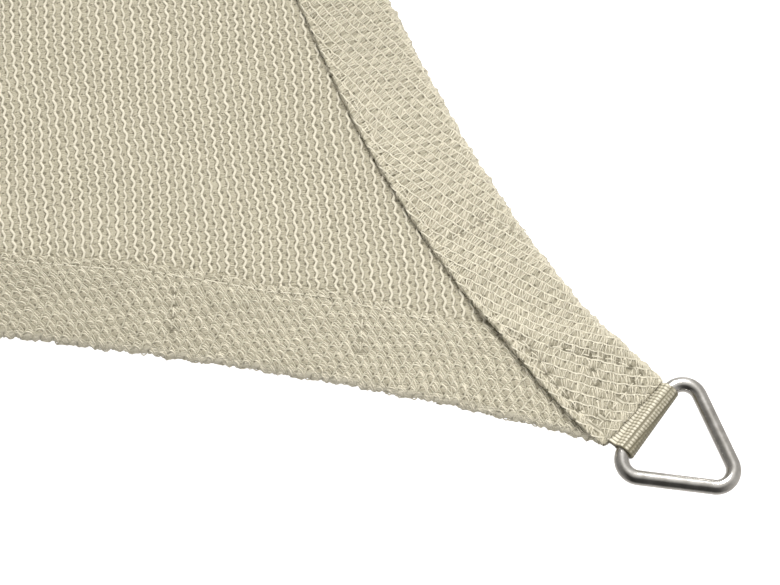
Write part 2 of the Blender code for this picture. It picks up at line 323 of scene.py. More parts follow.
class Nodes:
    """The nodes of a material or a sky, whose shader is filled in by values and expressions."""

    def __init__(self, owner, shader, values):
        owner.use_nodes = True
        self.tree = owner.node_tree
        self.shader = self.tree.nodes[shader]
        for name, value in values.items():
            self.shader.inputs[name].default_value = value

    def feed(self, name, value):
        """Link a socket to an input of the shader."""
        self.tree.links.new(value.output, self.shader.inputs[name])

    def node(self, kind, settings=None, sockets=None, output=0):
        """An output of a new node: its settings or a ramp's stops first, then its sockets' values or links."""
        made = self.tree.nodes.new(kind)
        for key, value in (settings or {}).items():
            if key == "stops":
                stops = made.color_ramp.elements
                while len(stops) < len(value):
                    stops.new(0.5)
                for stop, (position, color) in zip(stops, value):
                    stop.position, stop.color = position, color
            else:
                setattr(made, key, value)
        for key, value in (sockets or {}).items():
            if isinstance(value, Socket):
                self.tree.links.new(value.output, made.inputs[key])
            else:
                made.inputs[key].default_value = value
        return Socket(self, made.outputs[output])

    def place(self, kind="Object"):
        """Coordinates of the shaded point."""
        return self.node("ShaderNodeTexCoord", output=kind)

    def attribute(self, name):
        return self.node("ShaderNodeAttribute", {"attribute_name": name}, output="Fac")

    def split(self, vector):
        """The three numbers of a vector."""
        first = self.node("ShaderNodeSeparateXYZ", {}, {0: vector})
        return [Socket(self, output) for output in first.output.node.outputs]

    def layer(self, name):
        """The two numbers of a UV map."""
        return self.split(self.node("ShaderNodeUVMap", {"uv_map": name}))[:2]

    def join(self, x, y, z=0.0):
        return self.node("ShaderNodeCombineXYZ", {}, {0: x, 1: y, 2: z})

    def noise(self, vector, scale=1.0, detail=2.0, roughness=0.5):
        sockets = {"Vector": vector, "Scale": scale, "Detail": detail, "Roughness": roughness}
        return self.node("ShaderNodeTexNoise", {}, sockets, "Fac")

    def cloud(self, scale, detail=2.0, roughness=0.5, stretch=(1.0, 1.0, 1.0)):
        """Noise in space: its cells in a metre, and how many times more of them along X, Y and Z."""
        place = self.node("ShaderNodeVectorMath", {"operation": "MULTIPLY"}, {0: self.place(), 1: stretch})
        return self.noise(place, scale, detail, roughness)

    def mix(self, low, high, amount, blend="MIX"):
        """A colour between two, by an amount from 0 to 1."""
        low, high = ((*color, 1.0) if isinstance(color, tuple) else color for color in (low, high))
        settings = {"data_type": "RGBA", "blend_type": blend, "clamp_factor": True}
        return self.node("ShaderNodeMix", settings, {0: amount, 6: low, 7: high}, 2)


class Finish(Nodes):
    """A material whose Principled shader is filled in."""

    def __init__(self, name, roughness, metallic=0.0, specular=0.5):
        self.material = bpy.data.materials.new(name)
        values = {"Roughness": roughness, "Metallic": metallic, "Specular IOR Level": specular}
        super().__init__(self.material, "Principled BSDF", values)

    def relief(self, height, depth):
        """Bump: height is from 0 to 1, and depth is what 1 stands for, in metres."""
        sockets = {"Height": height, "Distance": depth, "Strength": 1.0}
        self.feed("Normal", self.node("ShaderNodeBump", {}, sockets, "Normal"))


def zigzag(stitch, sway, left):
    """Sideways place of a drawn chain in mm: to the right and back within a stitch, in two straight runs."""
    return (stitch / TURN_SHARE).lower((1 - stitch) / (1 - TURN_SHARE)) * sway - left


def drawn_chains(chain, phase, thins_out, sideways=0.0):
    """Every second chain as a line: 1 along its middle, and 0 past the larger of two distances in mm."""
    off_line = ((chain * 0.5 + phase).fraction() - 0.5) * (2 * WALE_PITCH / MM) - sideways
    return 1 - off_line.size().climb(*thins_out)


def spots(chain_pair, stitch, table):
    """Soft ovals of the motif: 1 at the middle of each and 0 outside."""
    total = 0.0
    for chain_at, stitch_at, half_chains, half_stitches in table:
        off_chain = (((chain_pair - chain_at + 1) * 0.5).fraction() * 2 - 1) / half_chains
        off_stitch = ((stitch - stitch_at + 0.5).fraction() - 0.5) / half_stitches
        total = (1 - off_chain * off_chain - off_stitch * off_stitch).higher(0.0) + total
    return total.climb(0.0, SPOT_RIM)


def knit_coordinates(finish):
    """Chain and stitch numbers of the shaded point, each shaken a little by a fine noise."""
    chain, stitch_number = finish.layer("knit")
    shake = finish.noise(finish.join(chain * SHAKE_CELLS, stitch_number * SHAKE_CELLS), detail=1.0) - 0.5
    return chain + shake * SHAKE[0], stitch_number + shake * SHAKE[1]


def knit_face_finish():
    """Face of the knit: strong and fine zigzag chains over streaks of filaments, on a ground painted darker as
    shade, with painted shade in the hollows.
    """
    finish = Finish("knit_face", CLOTH_ROUGHNESS, specular=CLOTH_SPECULAR)
    chain, stitch_number = knit_coordinates(finish)
    stitch = stitch_number.fraction()
    strong = drawn_chains(chain, STRONG_PHASE, STRONG_LINE, zigzag(stitch, *STRONG_SWAY))
    fine = drawn_chains(chain, FINE_PHASE, FINE_LINE, zigzag(stitch, *FINE_SWAY))
    cells = finish.join(chain * STREAK_CELLS[0], stitch_number * STREAK_CELLS[1])
    streaks = finish.noise(cells, roughness=0.6).climb(*STREAK_SPREAD)
    # Painted shade in the hollows of the motif
    hollow = spots(chain, stitch, FACE_SPOTS)
    cloud = finish.cloud(CLOUD_CELLS).climb(*CLOUD_SPREAD)
    color, relief = FACE_COLOR_SHARES, FACE_RELIEF_SHARES
    filled = finish.mix(CLOTH_SHADED_FILL, CLOTH_FILAMENT, streaks * color["streaks"] + cloud * color["cloud"])
    ground = finish.mix(filled, PAINTED_SHADE_COLOR, hollow * color["hollow"])
    chains = finish.mix(ground, CLOTH_BRIGHT, fine * color["fine"])
    finish.feed("Base Color", finish.mix(chains, CLOTH_BRIGHT, strong * color["strong"]))
    height = strong.higher(fine * relief["fine"]).higher(streaks * relief["streaks"])
    finish.relief(height - hollow * relief["hollow"], FACE_RELIEF)
    return finish.material


def graded_cells(crowding=0.8):
    """Numbers from 0 to 1 for the panel's grid, with the shortest steps at both ends."""
    even = np.linspace(0, 1, PANEL_CELLS + 1)
    return crowding * (1 - np.cos(math.pi * even)) / 2 + (1 - crowding) * even


def panel_plan():
    """Plan of the panel: a grid blended from its four curved borders (a Coons patch)."""
    end_place, start_place = crossing(PANEL_INSET, PANEL_INSET)
    border = side_point(start_place + graded_cells() * (end_place - start_place), PANEL_INSET)
    bottom, right, top, left = (turn(border, quarters) for quarters in range(SIDES))
    top, left = top[::-1], left[::-1]
    u, v = graded_cells()[:, None, None], graded_cells()[None, :, None]
    corners = ((1 - u) * (1 - v) * bottom[0] + u * (1 - v) * bottom[-1]
               + (1 - u) * v * top[0] + u * v * top[-1])
    return (1 - v) * bottom[:, None] + v * top[:, None] + (1 - u) * left[None, :] + u * right[None, :] - corners


def raised(plan_points, height):
    """Plan points with their heights."""
    return np.concatenate([plan_points, height[..., None]], axis=-1)


def shell(top, bottom):
    """A closed shell from two grids of points of one size, joined by a wall along their four borders."""
    upper = numbered(*top.shape[:2])
    lower = upper + upper.size
    rim = np.concatenate([upper[:, 0], upper[-1, 1:], upper[-2::-1, -1], upper[0, -2:0:-1]])
    ahead = np.roll(rim, -1)
    wall = np.stack([ahead, rim, rim + upper.size, ahead + upper.size], axis=-1)
    points = np.concatenate([top.reshape(-1, 3), bottom.reshape(-1, 3)])
    return points, [grid_quads(upper), grid_quads(lower)[:, ::-1], wall]


plan = panel_plan()
panel_points, panel_polygons = shell(raised(plan, lift(plan) + CLOTH_THICKNESS), raised(plan, lift(plan)))
sail_panel = add_piece("knitted_panel", panel_points, panel_polygons, knit_face_finish(),
                       layers={"knit": knit_numbers(panel_points[:, :2])})
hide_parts("sail_panel")

# ================================================================ turned hems
# Each side of the same cloth is turned over by 30 mm and sewn down 3 mm inside its raw edge, so
# a hem shows the reverse of the knit, mirrored in the fold. Where a side starts, its hem lies
# over the end of the hem before it. The inner edge is a little uneven, as sewn by hand.

# The hem's section in mm: insets with the height of its top, then insets with the height of its
# underside and with that height where it lies over another hem
HEM_TOP = ((0.0, 1.9), (0.5, 2.6), (1.6, 3.3), (4.0, 3.5), (8.0, 3.6), (16.0, 3.3), (22.0, 3.4),
           (25.0, 3.3), (26.3, 2.85), (27.3, 2.6), (28.3, 2.7), (29.3, 2.6), (30.0, 2.3))
HEM_UNDER = ((29.7, 1.35, 4.05), (27.4, 1.35, 4.05), (26.2, 1.35, 4.05), (26.1, 0.0, 4.05),
             (7.1, 0.0, 4.05), (7.0, 0.0, 0.0), (1.6, 0.0, 0.0), (0.2, 0.9, 0.9))
HEM_BODY = (4.0, 25.0, 20)               # more columns of points in the middle: from and to in mm, and how many
HEM_WIDTH, MOST_GIVE = 30 * MM, 1.2
CURL_START, CURL_REACH, CURL_RISE = 27.3 * MM, 2 * MM, 1.25 * MM   # of the raw edge, more at a hem's start
SWELL = 0.22 * MM                        # of the hem's uneven top
LAP_RISE, LAP_RUN_IN, LAP_FADE = 2.4 * MM, 30 * MM, 8 * MM
LAP_END = 7.3 * MM                       # a covered hem ends this far inside the next one
LAP_SQUASH = ((0, 1.5), (21, 1.5), (26, 3.9), (30, 9.0))   # inset from the next edge, and the top's limit
NEAR_REACH, NEAR_STEP, FAR_STEP = 215 * MM, 0.9 * MM, 12 * MM
END_SPAN, END_TRIES = (-60 * MM, 40 * MM), 800             # where a hem's end is looked for
# Extra width of a hem by the distance from its start, and by the distance from its end, in mm
START_EXTRA = ((0, 0.8), (7, 1.1), (20, 0.0), (37, -1.2), (52, -0.6), (63, -0.4), (85, 0.3),
               (106, 0.8), (125, 0.4), (140, -0.2), (164, -1.2), (190, -0.4), (230, 0.5), (300, 0))
END_EXTRA = ((24, 0.9), (30, 1.0), (43, 0), (59, -0.8), (72, -0.1), (85, 1.3), (108, -0.4), (121, 0.8),
             (138, 1.35), (154, 1.3), (170, 0), (190, -1.2), (230, 0.3), (300, 0))


def inner_edge(along):
    """Uneven width of a hem, from the two tables: one by distance from its start, one from its end."""
    start, end = np.array(START_EXTRA).T * MM, np.array(END_EXTRA).T * MM
    return HEM_WIDTH + np.interp(along, *start) + np.interp(CHORD_LENGTH - along, *end)


# Rows of stitches across the hems, near a hem's start and near its end: places along the chord from
# the start, or back from the end, and insets, in mm
START_ROWS = (
    ((70.0, 22.5), (69.4, 17.3), (70.0, 8.2), (63.0, 4.2), (59.2, 1.8)),
    ((27.4, 18.7), (23.8, 15.1), (19.8, 12.1), (16.7, 9.3), (13.3, 6.4), (9.3, 4.7)),
    ((19.8, 12.1), (14.7, 14.7), (12.4, 16.5), (9.2, 20.2), (6.5, 23.5)),
    ((36.9, 27.6), (33.9, 25.1), (30.4, 25.3), (26.8, 24.6), (22.2, 26.0), (14.7, 26.0), (7.3, 27.1)),
    ((6.2, 3.7), (6.0, 8.9), (5.7, 12.5), (5.5, 18.3), (5.3, 21.0), (4.9, 27.1)),
)
END_ROWS = (
    ((137.3, 25.4), (136.6, 20.5), (136.0, 16.0), (135.6, 9.0)),
    ((78.3, 26.9), (77.6, 22.0), (77.0, 17.0), (76.4, 11.5)),
)
# Painted shade on a hem, darker in places, by the distance from its start and by the distance from its end, in
# mm
START_SHADE = ((0, 0.30), (15, 0.28), (32, 0.06), (110, 0.0), (150, 0.22), (180, 0.24),
               (260, 0.05), (1000, 0.05))
END_SHADE = ((50, 0.22), (75, 0.25), (130, 0.40), (190, 0.58), (210, 0.50), (300, 0.10), (1000, 0.05))
END_PULL = 0.8                           # the rows at a hem's end are sewn less tight
PULL_CHANGE, PULL_TURNS = 0.25, 2.4      # how the reach of the pull differs from one stitch end to the next
SEAM_INSET = 27.3 * MM
STITCH_PITCH = 4.0 * MM
DENT_DEPTH, DENT_RADIUS = 0.9 * MM, 1.3 * MM
SINK_DEPTH, SINK_RADIUS = 0.60 * MM, 0.80 * MM     # of the yarn beside a needle's hole
NEEDLE_HOLE = 0.5 * MM
# Waves of the folded edge, where the chains of stitches turn over it: height and length of a radian in
# mm, and phase
EDGE_WAVES = ((0.22, 0.62, 0), (0.176, 1.7, 1), (0.198, 5.1, 2))
EDGE_WAVES_REACH = 3 * MM
BACK_LINE, THIN_BACK_LINE = (0.16, 0.42), (0.10, 0.34)     # where a drawn chain's back thins out, in mm
RUNG_LEAN, RUNG_COUNT, RUNG_SPREAD = 0.4, 5.0, (0.10, 0.36)
EDGE_LIGHT_SPREAD, EDGE_LIGHT_SHARE = (0.8, 2.4), 0.8              # painted light on the folded edge, which also lifts painted shade there: insets in mm
PAINTED_SHADE_SPREAD, HOLE_RIM = (0.64, 1.05), 1.6
REVERSE_COLOR_SHARES = {"rungs": 0.6, "cloud": 0.2, "thin": 0.5, "line": 0.6}
DARK_SHARES = {"gap": 0.8, "hole": 0.85, "painted_shade": 0.5, "edge_light": 0.6}
REVERSE_RELIEF, REVERSE_RELIEF_SHARE = 0.35 * MM, 0.5


def running_length(line):
    """Length of a line up to each of its points."""
    return np.concatenate([[0], np.cumsum(np.linalg.norm(np.diff(line, axis=0), axis=-1))])


def row_marks(row):
    """Needle places along a row: its line cut into equal stitches near the usual length, in metres."""
    line = np.array(row) * MM
    run = running_length(line)
    steps = max(2, int(round(run[-1] / STITCH_PITCH)) + 1)
    share = np.linspace(0, run[-1], steps)
    return np.stack([np.interp(share, run, line[:, 0]), np.interp(share, run, line[:, 1])], axis=-1)


def cross_rows():
    """Needle places of every row across a hem: (place along, inset) arrays, one for each row."""
    rows = [row_marks(row) for row in START_ROWS]
    for row in END_ROWS:
        marks = row_marks(row)
        rows.append(np.stack([CHORD_LENGTH - marks[:, 0], marks[:, 1]], axis=-1))
    return rows


def needle_pull(along, inset, radius):
    """1 at a stitch end of the cross rows, fading softly to 0 round it; no two stitch ends are quite alike."""
    marks = np.concatenate(cross_rows())
    steepness = np.sqrt(1 + edge_slope(marks[:, 0]) ** 2)
    off_along = (np.asarray(along)[..., None] - marks[:, 0]) * steepness
    off_inset = np.asarray(inset)[..., None] - marks[:, 1]
    reach = radius * (1 + PULL_CHANGE * np.sin(PULL_TURNS * np.arange(len(marks))))
    tightness = np.where(marks[:, 0] < CHORD_LENGTH / 2, 1, END_PULL)
    near = np.exp(-(off_along ** 2 + off_inset ** 2) / reach ** 2) * tightness
    return np.clip(near.sum(axis=-1), 0, 1)


def painted_hem_shade(along):
    """Painted shade of a hem at a place along it, from the two tables of shade."""
    start, end = np.array(START_SHADE).T, np.array(END_SHADE).T
    from_start, from_end = along / MM, (CHORD_LENGTH - along) / MM
    return np.where(along < CHORD_LENGTH / 2, np.interp(from_start, *start), np.interp(from_end, *end))


def lap_rise(plan_points):
    """Lift of side 0's hem over the end of the hem before it, beside the hem's start."""
    before = turn(plan_points, 1)
    along = np.clip(before[..., 0] - CHORD_START, 0, CHORD_LENGTH)
    inset = (before[..., 1] + CHORD_LEVEL - edge_rise(along)) / np.sqrt(1 + edge_slope(along) ** 2)
    return LAP_RISE * np.clip((LAP_RUN_IN + LAP_FADE - inset) / LAP_FADE, 0, 1) * (plan_points[..., 0] < 0)


def stretched(along, inset):
    """Inset on an even hem moved to the real, uneven one: only its inner half gives way."""
    give = np.clip((inset - HEM_WIDTH / 2) / (HEM_WIDTH / 2), 0, MOST_GIVE)
    return inset + (inner_edge(along) - HEM_WIDTH) * give


def curl(along, inset):
    """Lift of the raw edge: it grows evenly past the seam, and dies out towards the hem's end."""
    rise = CURL_RISE * np.clip((inset - CURL_START) / CURL_REACH, 0, 1)
    return rise * np.clip(1 - along / CHORD_LENGTH, 0, 1)


def hem_top(along, inset):
    """Height of a hem's upper face above the panel's underside, at a place on an even hem. It is uneven by sine
    waves of a few mm, is dented at the needle places, and is flattened where the next hem covers it."""
    levels = np.array(HEM_TOP).T * MM
    x, y = along / MM, inset / MM
    soft = SWELL * (np.sin(x / 6.1 + y / 4.5) * np.sin(x / 3.7) + 0.5 * np.sin(x / 2.3 - y / 4))
    share = np.clip(y / 4, 0, 1) * np.clip((HEM_WIDTH / MM - y) / 3, 0, 1)
    plan_points = side_point(along, stretched(along, inset))
    top = np.interp(inset, *levels) + lap_rise(plan_points) + soft * share + curl(along, inset)
    top = top - DENT_DEPTH * needle_pull(along, inset, DENT_RADIUS)
    next_inset = side_place(plan_points, 1)[1]
    limit = np.interp(next_inset, *(np.array(LAP_SQUASH).T * MM))
    return np.where(along > CHORD_LENGTH / 2, np.minimum(top, limit), top)


def waves(along, table):
    """Sum of sine waves at a place, from a table of heights, lengths of a radian and phases."""
    return MM * sum(height * np.sin(along / (radian * MM) + phase) for height, radian, phase in table)


def hem_points(quarters, along, inset, above=0.0):
    """Points in the sail's frame, from places on an even hem and a height above its upper face."""
    bumps = waves(along, EDGE_WAVES) * np.clip(1 - inset / EDGE_WAVES_REACH, 0, 1)
    world = turn(side_point(along, stretched(along, inset) + bumps), quarters)
    return raised(world, lift(world) + hem_top(along, inset) + above)


def last_places(insets):
    """Where lines inset from side 0 stop under the next hem: at its lap or at the cloth's cut end."""
    along = np.linspace(CHORD_LENGTH + END_SPAN[0], CHORD_LENGTH + END_SPAN[1], END_TRIES)
    ends = []
    for inset in insets:
        next_along, next_inset = side_place(side_point(along, inset), 1)
        past = (next_inset < LAP_END) | (next_along < CLOTH_END)
        ends.append(along[np.argmax(past)])
    return np.array(ends)


def hem_stations():
    """Places along a side: fine steps near both corners and coarse ones in the middle of the side."""
    end = last_places([0.0])[0]
    near_start = np.arange(CLOTH_END, NEAR_REACH, NEAR_STEP)
    near_end = np.arange(end, CHORD_LENGTH - NEAR_REACH, -NEAR_STEP)[::-1]
    count = int((near_end[0] - near_start[-1]) / FAR_STEP)
    return np.concatenate([near_start[:-1], np.linspace(near_start[-1], near_end[0], count), near_end[1:]])


def hem_strip(quarters):
    """A closed section carried along a side: upper face, raw edge, underside and the turned edge."""
    first, last, count = HEM_BODY
    body = np.linspace(first * MM, last * MM, count)
    insets = np.unique(np.concatenate([np.array(HEM_TOP)[:, 0] * MM, body]))
    under_insets, level, lap_level = np.array(HEM_UNDER).T * MM
    all_insets = np.concatenate([insets, under_insets])
    along = hem_stations()[:, None]
    near_end = np.clip((along - along[-1] + NEAR_REACH) / NEAR_REACH, 0, 1)
    stations = along + near_end * (last_places(all_insets)[None, :] - along[-1])
    all_insets = np.broadcast_to(all_insets, stations.shape)
    section = hem_points(quarters, stations, all_insets)
    under = np.s_[:, len(insets):]
    lapped = lap_rise(turn(section[..., :2], -quarters))[under] / LAP_RISE
    floor = lift(section[..., :2])[under] + curl(stations, all_insets)[under] * (1 - lapped)
    section[..., 2][under] = floor + level + (lap_level - level) * lapped
    index = numbered(*stations.shape)
    polygons = [grid_quads(index, closed_columns=True), index[:1, ::-1], index[-1:]]
    flat = turn(side_point(stations, -all_insets), quarters)
    # The hem's tone: painted shade at the needle places and painted shade by place along the hem
    painted_shade = needle_pull(stations, all_insets, DENT_RADIUS) + painted_hem_shade(stations)
    sewn = np.stack([stations / STITCH_PITCH, all_insets / MM], axis=-1).reshape(-1, 2)
    cover = patch_share(section[..., :2]).reshape(-1, 1) * [1, 0]
    layers = {"knit": knit_numbers(flat.reshape(-1, 2)), "sewn": sewn, "cover": cover}
    return section.reshape(-1, 3), polygons, layers, painted_shade


def knit_reverse_finish():
    """Reverse of the knit: thin backs of the chains, rungs between them and flat tapes, with painted shade in
    small gaps and needle holes, painted shade by place from the tone, and painted light on the folded edge.
    """
    finish = Finish("knit_reverse", CLOTH_ROUGHNESS, specular=CLOTH_SPECULAR)
    chain, stitch_number = knit_coordinates(finish)
    line = drawn_chains(chain, STRONG_PHASE, BACK_LINE)
    thin_line = drawn_chains(chain, FINE_PHASE, THIN_BACK_LINE)
    rung_numbers = (stitch_number - chain * RUNG_LEAN) * RUNG_COUNT
    rungs = 1 - (rung_numbers.fraction() - 0.5).size().climb(*RUNG_SPREAD)
    tape = spots(chain, stitch_number.fraction(), REVERSE_TAPES)
    # Painted shade in the needle holes along the seam and, with it, in the knit's small gaps
    sewn_along, sewn_inset = finish.layer("sewn")
    off_along = ((sewn_along + 0.5).fraction() - 0.5) * STITCH_PITCH / NEEDLE_HOLE
    off_inset = (sewn_inset * MM - SEAM_INSET) / NEEDLE_HOLE
    needle_hole = (HOLE_RIM - (off_along * off_along + off_inset * off_inset)).climb(0.0, 1.0)
    gap = spots(chain, stitch_number.fraction(), REVERSE_SPOTS).higher(needle_hole)
    color, shares = REVERSE_COLOR_SHARES, DARK_SHARES
    cloud = (finish.cloud(CLOUD_CELLS).climb(*CLOUD_SPREAD) - 0.5) * color["cloud"]
    ground = finish.mix(REVERSE_FILL, REVERSE_TAPE, tape.higher(rungs * color["rungs"]) + cloud)
    lines = finish.mix(ground, CLOTH_BRIGHT, thin_line * color["thin"])
    lines = finish.mix(lines, CLOTH_BRIGHT, line * color["line"])
    cover, _ = finish.layer("cover")
    # Painted light on the folded edge
    edge_light = (1 - sewn_inset.climb(*EDGE_LIGHT_SPREAD)) * EDGE_LIGHT_SHARE
    lines = finish.mix(lines, CLOTH_BRIGHT, edge_light.higher((1 - cover) * OPEN_LIGHT))
    # Painted shade from the hem's tone: at needle holes and at darker places along the hem
    painted_shade = finish.attribute("tone")
    hole = painted_shade.climb(*PAINTED_SHADE_SPREAD) * shares["hole"]
    dark = (gap * shares["gap"]).higher(hole).higher(painted_shade * shares["painted_shade"])
    finish.feed("Base Color", finish.mix(lines, PAINTED_SHADE_COLOR, dark * (1 - edge_light * shares["edge_light"])))
    raised_rungs = (rungs * (1 - tape)).higher(tape) * REVERSE_RELIEF_SHARE
    finish.relief(line.higher(raised_rungs) - gap * REVERSE_RELIEF_SHARE, REVERSE_RELIEF)
    return finish.material


knit_reverse = knit_reverse_finish()
for quarters in range(SIDES):
    points, polygons, layers, painted_shade = hem_strip(quarters)
    add_piece(f"hem_{quarters + 1}", points, polygons, knit_reverse, layers, painted_shade)

# ================================================================ yarn of the knitted face
# The chains and filaments themselves, as round yarn lying on the panel, made for the patch of
# cloth at one corner that is looked at from close by. They sink into the panel at the rim of the
# patch, where its own relief takes over.

SEED, BACK_SEED = 11, 16
HASH, HASH_MASK = (73856093, 19349663, 83492791, 2654435761, 1274126177), 0xFFFFFFFF
# A chain's line through one stitch: share of the stitch, place across and height in mm
STRONG_CHAIN = ((0.0, -0.44, 0.22), (0.14, -0.30, 0.26), (0.32, 0.14, 0.30), (0.48, 0.44, 0.28),
                (0.60, 0.42, 0.24), (0.80, 0.00, 0.20), (0.92, -0.32, 0.20), (1.0, -0.44, 0.22))
FINE_CHAIN = ((0.0, -0.38, 0.20), (0.14, -0.28, 0.22), (0.34, 0.10, 0.22), (0.52, 0.38, 0.24),
              (0.66, 0.30, 0.22), (0.84, -0.12, 0.20), (1.0, -0.38, 0.20))
STRONG_RADIUS, FINE_RADIUS, FILAMENT_RADIUS = 0.56 * MM, 0.48 * MM, 0.19 * MM
CHAIN_STRAYS = (0.13, 0.5, 0.16)         # random change of a chain's place in mm, of its tone and of its sway
FLATNESS = 0.62                          # yarn is this much lower than it is wide
SUNK, THINNED = 0.5 * MM, 0.4            # depth of the yarn, and share of its radius, where it has faded out
# Threads across a cell: stitch numbers at the left and right, chain numbers where it begins and ends,
# how far its middle is pushed along the chain, its size and its tone
STRONG_TO_FINE = ((0.26, 0.24, 0.0, 1.0, 0.0, 1.0, -0.2), (0.38, 0.40, 0.0, 0.80, 0.0, 0.9, -0.5),
                  (0.58, 0.62, 0.16, 0.95, 0.0, 1.35, 0.9), (0.76, 0.74, 0.0, 1.0, 0.0, 1.0, 0.0),
                  (0.88, 0.90, 0.0, 1.0, 0.0, 0.9, -0.4))
FINE_TO_STRONG = ((0.14, 0.18, 0.0, 1.0, 0.0, 1.1, 0.2), (0.28, 0.28, 0.0, 1.0, 0.0, 0.9, -0.3),
                  (0.42, 0.44, 0.0, 1.0, 0.0, 1.0, 0.1), (0.60, 0.56, 0.0, 0.75, 0.0, 1.0, -0.4),
                  (0.86, 0.88, 0.1, 1.0, 0.0, 1.1, 0.2))
THREAD_SHARES = (0.0, 0.3, 0.7, 1.0)     # where a thread has its points
THREAD_SIZES, THREAD_TONES, BOW_STRAY = (0.8, 1.15), (-0.3, 0.3), 0.025
# How the threads lie: heights at their ends and in their middle, and the range of their stray, in mm
FACE_LAY, FACE_STRAY = (-0.02, 0.03, -0.05, 0.07), 0.035   # and the stray of their ends, in stitches
# The sides that meet at the photographed corner: one starts there and the other ends there
NEAR_HEMS = (("start", 1), ("end", 0))
OPEN_REACH = 2.5 * MM                    # the yarn runs on this far under the hems' raw edges
FADED_OUT = 0.02                         # share of the patch below which no yarn is made
CHAIN_SIDES, BACK_SIDES, THIN_SIDES = 6, 5, 3              # of the tubes
STRONG_COLOR, FINE_COLOR, CHAIN_SHADE = (0.63, 0.588, 0.478), (0.60, 0.56, 0.455), (0.52, 0.484, 0.38)
FILAMENT_COLOR, FILAMENT_SHADE = (0.53, 0.493, 0.386), (0.43, 0.396, 0.30)
YARN_SPECULAR, FLECK_CELLS, TONE_SHARE = 0.4, 900.0, 0.6


def lattice_near(points_wanted):
    """All whole chain and stitch numbers over the box that holds the given points."""
    numbers = knit_numbers(points_wanted)
    low, high = np.floor(numbers.min(axis=0)), np.ceil(numbers.max(axis=0))
    ranges = (np.arange(first, last + 1) for first, last in zip(low, high))
    return np.stack(np.meshgrid(*ranges, indexing="ij"), axis=-1).reshape(-1, 2)


def patch_outline():
    """The four corners of the patch."""
    return np.array([PATCH_MIDDLE + i * PATCH_HALF_WIDTH * PATCH_RIGHT + j * PATCH_HALF_DEPTH * PATCH_UP
                     for i in (-1, 1) for j in (-1, 1)])


def lattice_noise(numbers, size, seed):
    """A random value for each whole chain and stitch number, shared by the stitches that meet there."""
    whole = np.round(numbers).astype(np.int64)
    for_chain, for_stitch, for_seed, first, second = HASH
    mixed = (whole[..., 0] * for_chain) ^ (whole[..., 1] * for_stitch) ^ (seed * for_seed)
    mixed = (mixed * first) & HASH_MASK
    mixed = ((mixed >> 13) ^ mixed) * second & HASH_MASK
    return size * (2 * (mixed / HASH_MASK) - 1)


def unit(vectors):
    """Vectors made one long."""
    return vectors / np.linalg.norm(vectors, axis=-1, keepdims=True)


def add_yarn(name, paths, radii, tones, sides, material):
    """A piece of closed flattened tubes: points round each path point, square to the path, and flat caps."""
    count, steps = paths.shape[:2]
    tangent = unit(np.gradient(paths, axis=1))
    sideways = unit(np.cross(tangent, np.array([0.0, 0.0, 1.0])))
    upward = np.cross(sideways, tangent) * FLATNESS
    angles = QUARTER_TURN + np.arange(sides) * FULL_TURN / sides
    reach = np.broadcast_to(radii, (count, steps))[..., None, None]
    ring = np.cos(angles)[:, None] * sideways[:, :, None] + np.sin(angles)[:, None] * upward[:, :, None]
    points = (paths[:, :, None] + ring * reach).reshape(-1, 3)
    index = numbered(count, steps, sides)
    polygons = [grid_quads(index, closed_columns=True), index[:, 0], index[:, -1, ::-1]]
    tones = np.repeat(np.broadcast_to(tones, (count, steps)).ravel(), sides)
    add_piece(name, points, polygons, material, tone=tones)


def two_kinds(numbers):
    """The stitches of the strong chains and those of the fine ones."""
    return numbers[numbers[:, 0] % 2 == 0], numbers[numbers[:, 0] % 2 == 1]


def cross_threads(numbers, table, draw, lay, stray):
    """Threads that cross from each stitch's chain to the next one, by a table, with random strays."""
    at_left, at_right, begins, ends, push, size, tone = (column[None, :, None] for column in np.array(table).T)
    end_height, middle_height, lowest, highest = lay
    share = np.array(THREAD_SHARES)
    count = (len(numbers), len(table), 1)
    chain = numbers[:, None, :1] + begins + share * (ends - begins)
    left = at_left + draw.normal(0, stray, count)
    right = at_right + draw.normal(0, stray, count)
    bow = push + draw.normal(0, BOW_STRAY, count)
    stitch = numbers[:, None, 1:] + left + share * (right - left) + 4 * share * (1 - share) * bow
    sizes = (size * draw.uniform(*THREAD_SIZES, count)).reshape(-1, 1)
    tones = (tone + draw.uniform(*THREAD_TONES, count)).reshape(-1, 1)
    heights = np.array([end_height, middle_height, middle_height, end_height])
    heights = (heights + draw.uniform(lowest, highest, (len(tones), 1))) * MM
    return np.stack([chain, stitch], axis=-1).reshape(-1, len(share), 2), heights, sizes, tones


def chain_strands(numbers, table, seed):
    """Each stitch's path in chain and stitch numbers from a table, with a shared stray at both of its ends."""
    share, across, up = np.array(table).T
    place_stray, tone_stray, sway_stray = CHAIN_STRAYS
    stray = [lattice_noise(numbers + [0, end], place_stray, seed)[:, None] for end in (0, 1)]
    tone = [lattice_noise(numbers + [0, end], tone_stray, seed + 1)[:, None] for end in (0, 1)]
    sway = 1 + lattice_noise(numbers, sway_stray, seed + 2)[:, None]
    sideways = across * sway + stray[0] * (1 - share) + stray[1] * share
    chain = numbers[:, :1] + sideways * MM / WALE_PITCH
    stitch = numbers[:, 1:] + share
    return np.stack([chain, stitch], axis=-1), up * MM, tone[0] * (1 - share) + tone[1] * share


def on_panel(numbers):
    """True for stitches on the open face of the panel, inside the patch and just under the hems' raw edges."""
    middle = knit_points(numbers + [0, 0.5])
    open_face = patch_share(middle) > FADED_OUT
    for _, quarters in NEAR_HEMS:
        along, inset = side_place(middle, quarters)
        open_face &= inset > inner_edge(along) - OPEN_REACH
    return open_face


def faded(share, heights, radii):
    """Heights and radii of yarn, sunk and thinned where the patch fades out."""
    return heights * share - SUNK * (1 - share), radii * (THINNED + (1 - THINNED) * share)


def on_face(path_numbers, heights, radii):
    """Paths laid on the panel, and their radii."""
    plan_points = knit_points(path_numbers)
    heights, radii = faded(patch_share(plan_points), heights, radii)
    return raised(plan_points, lift(plan_points) + CLOTH_THICKNESS + heights), radii


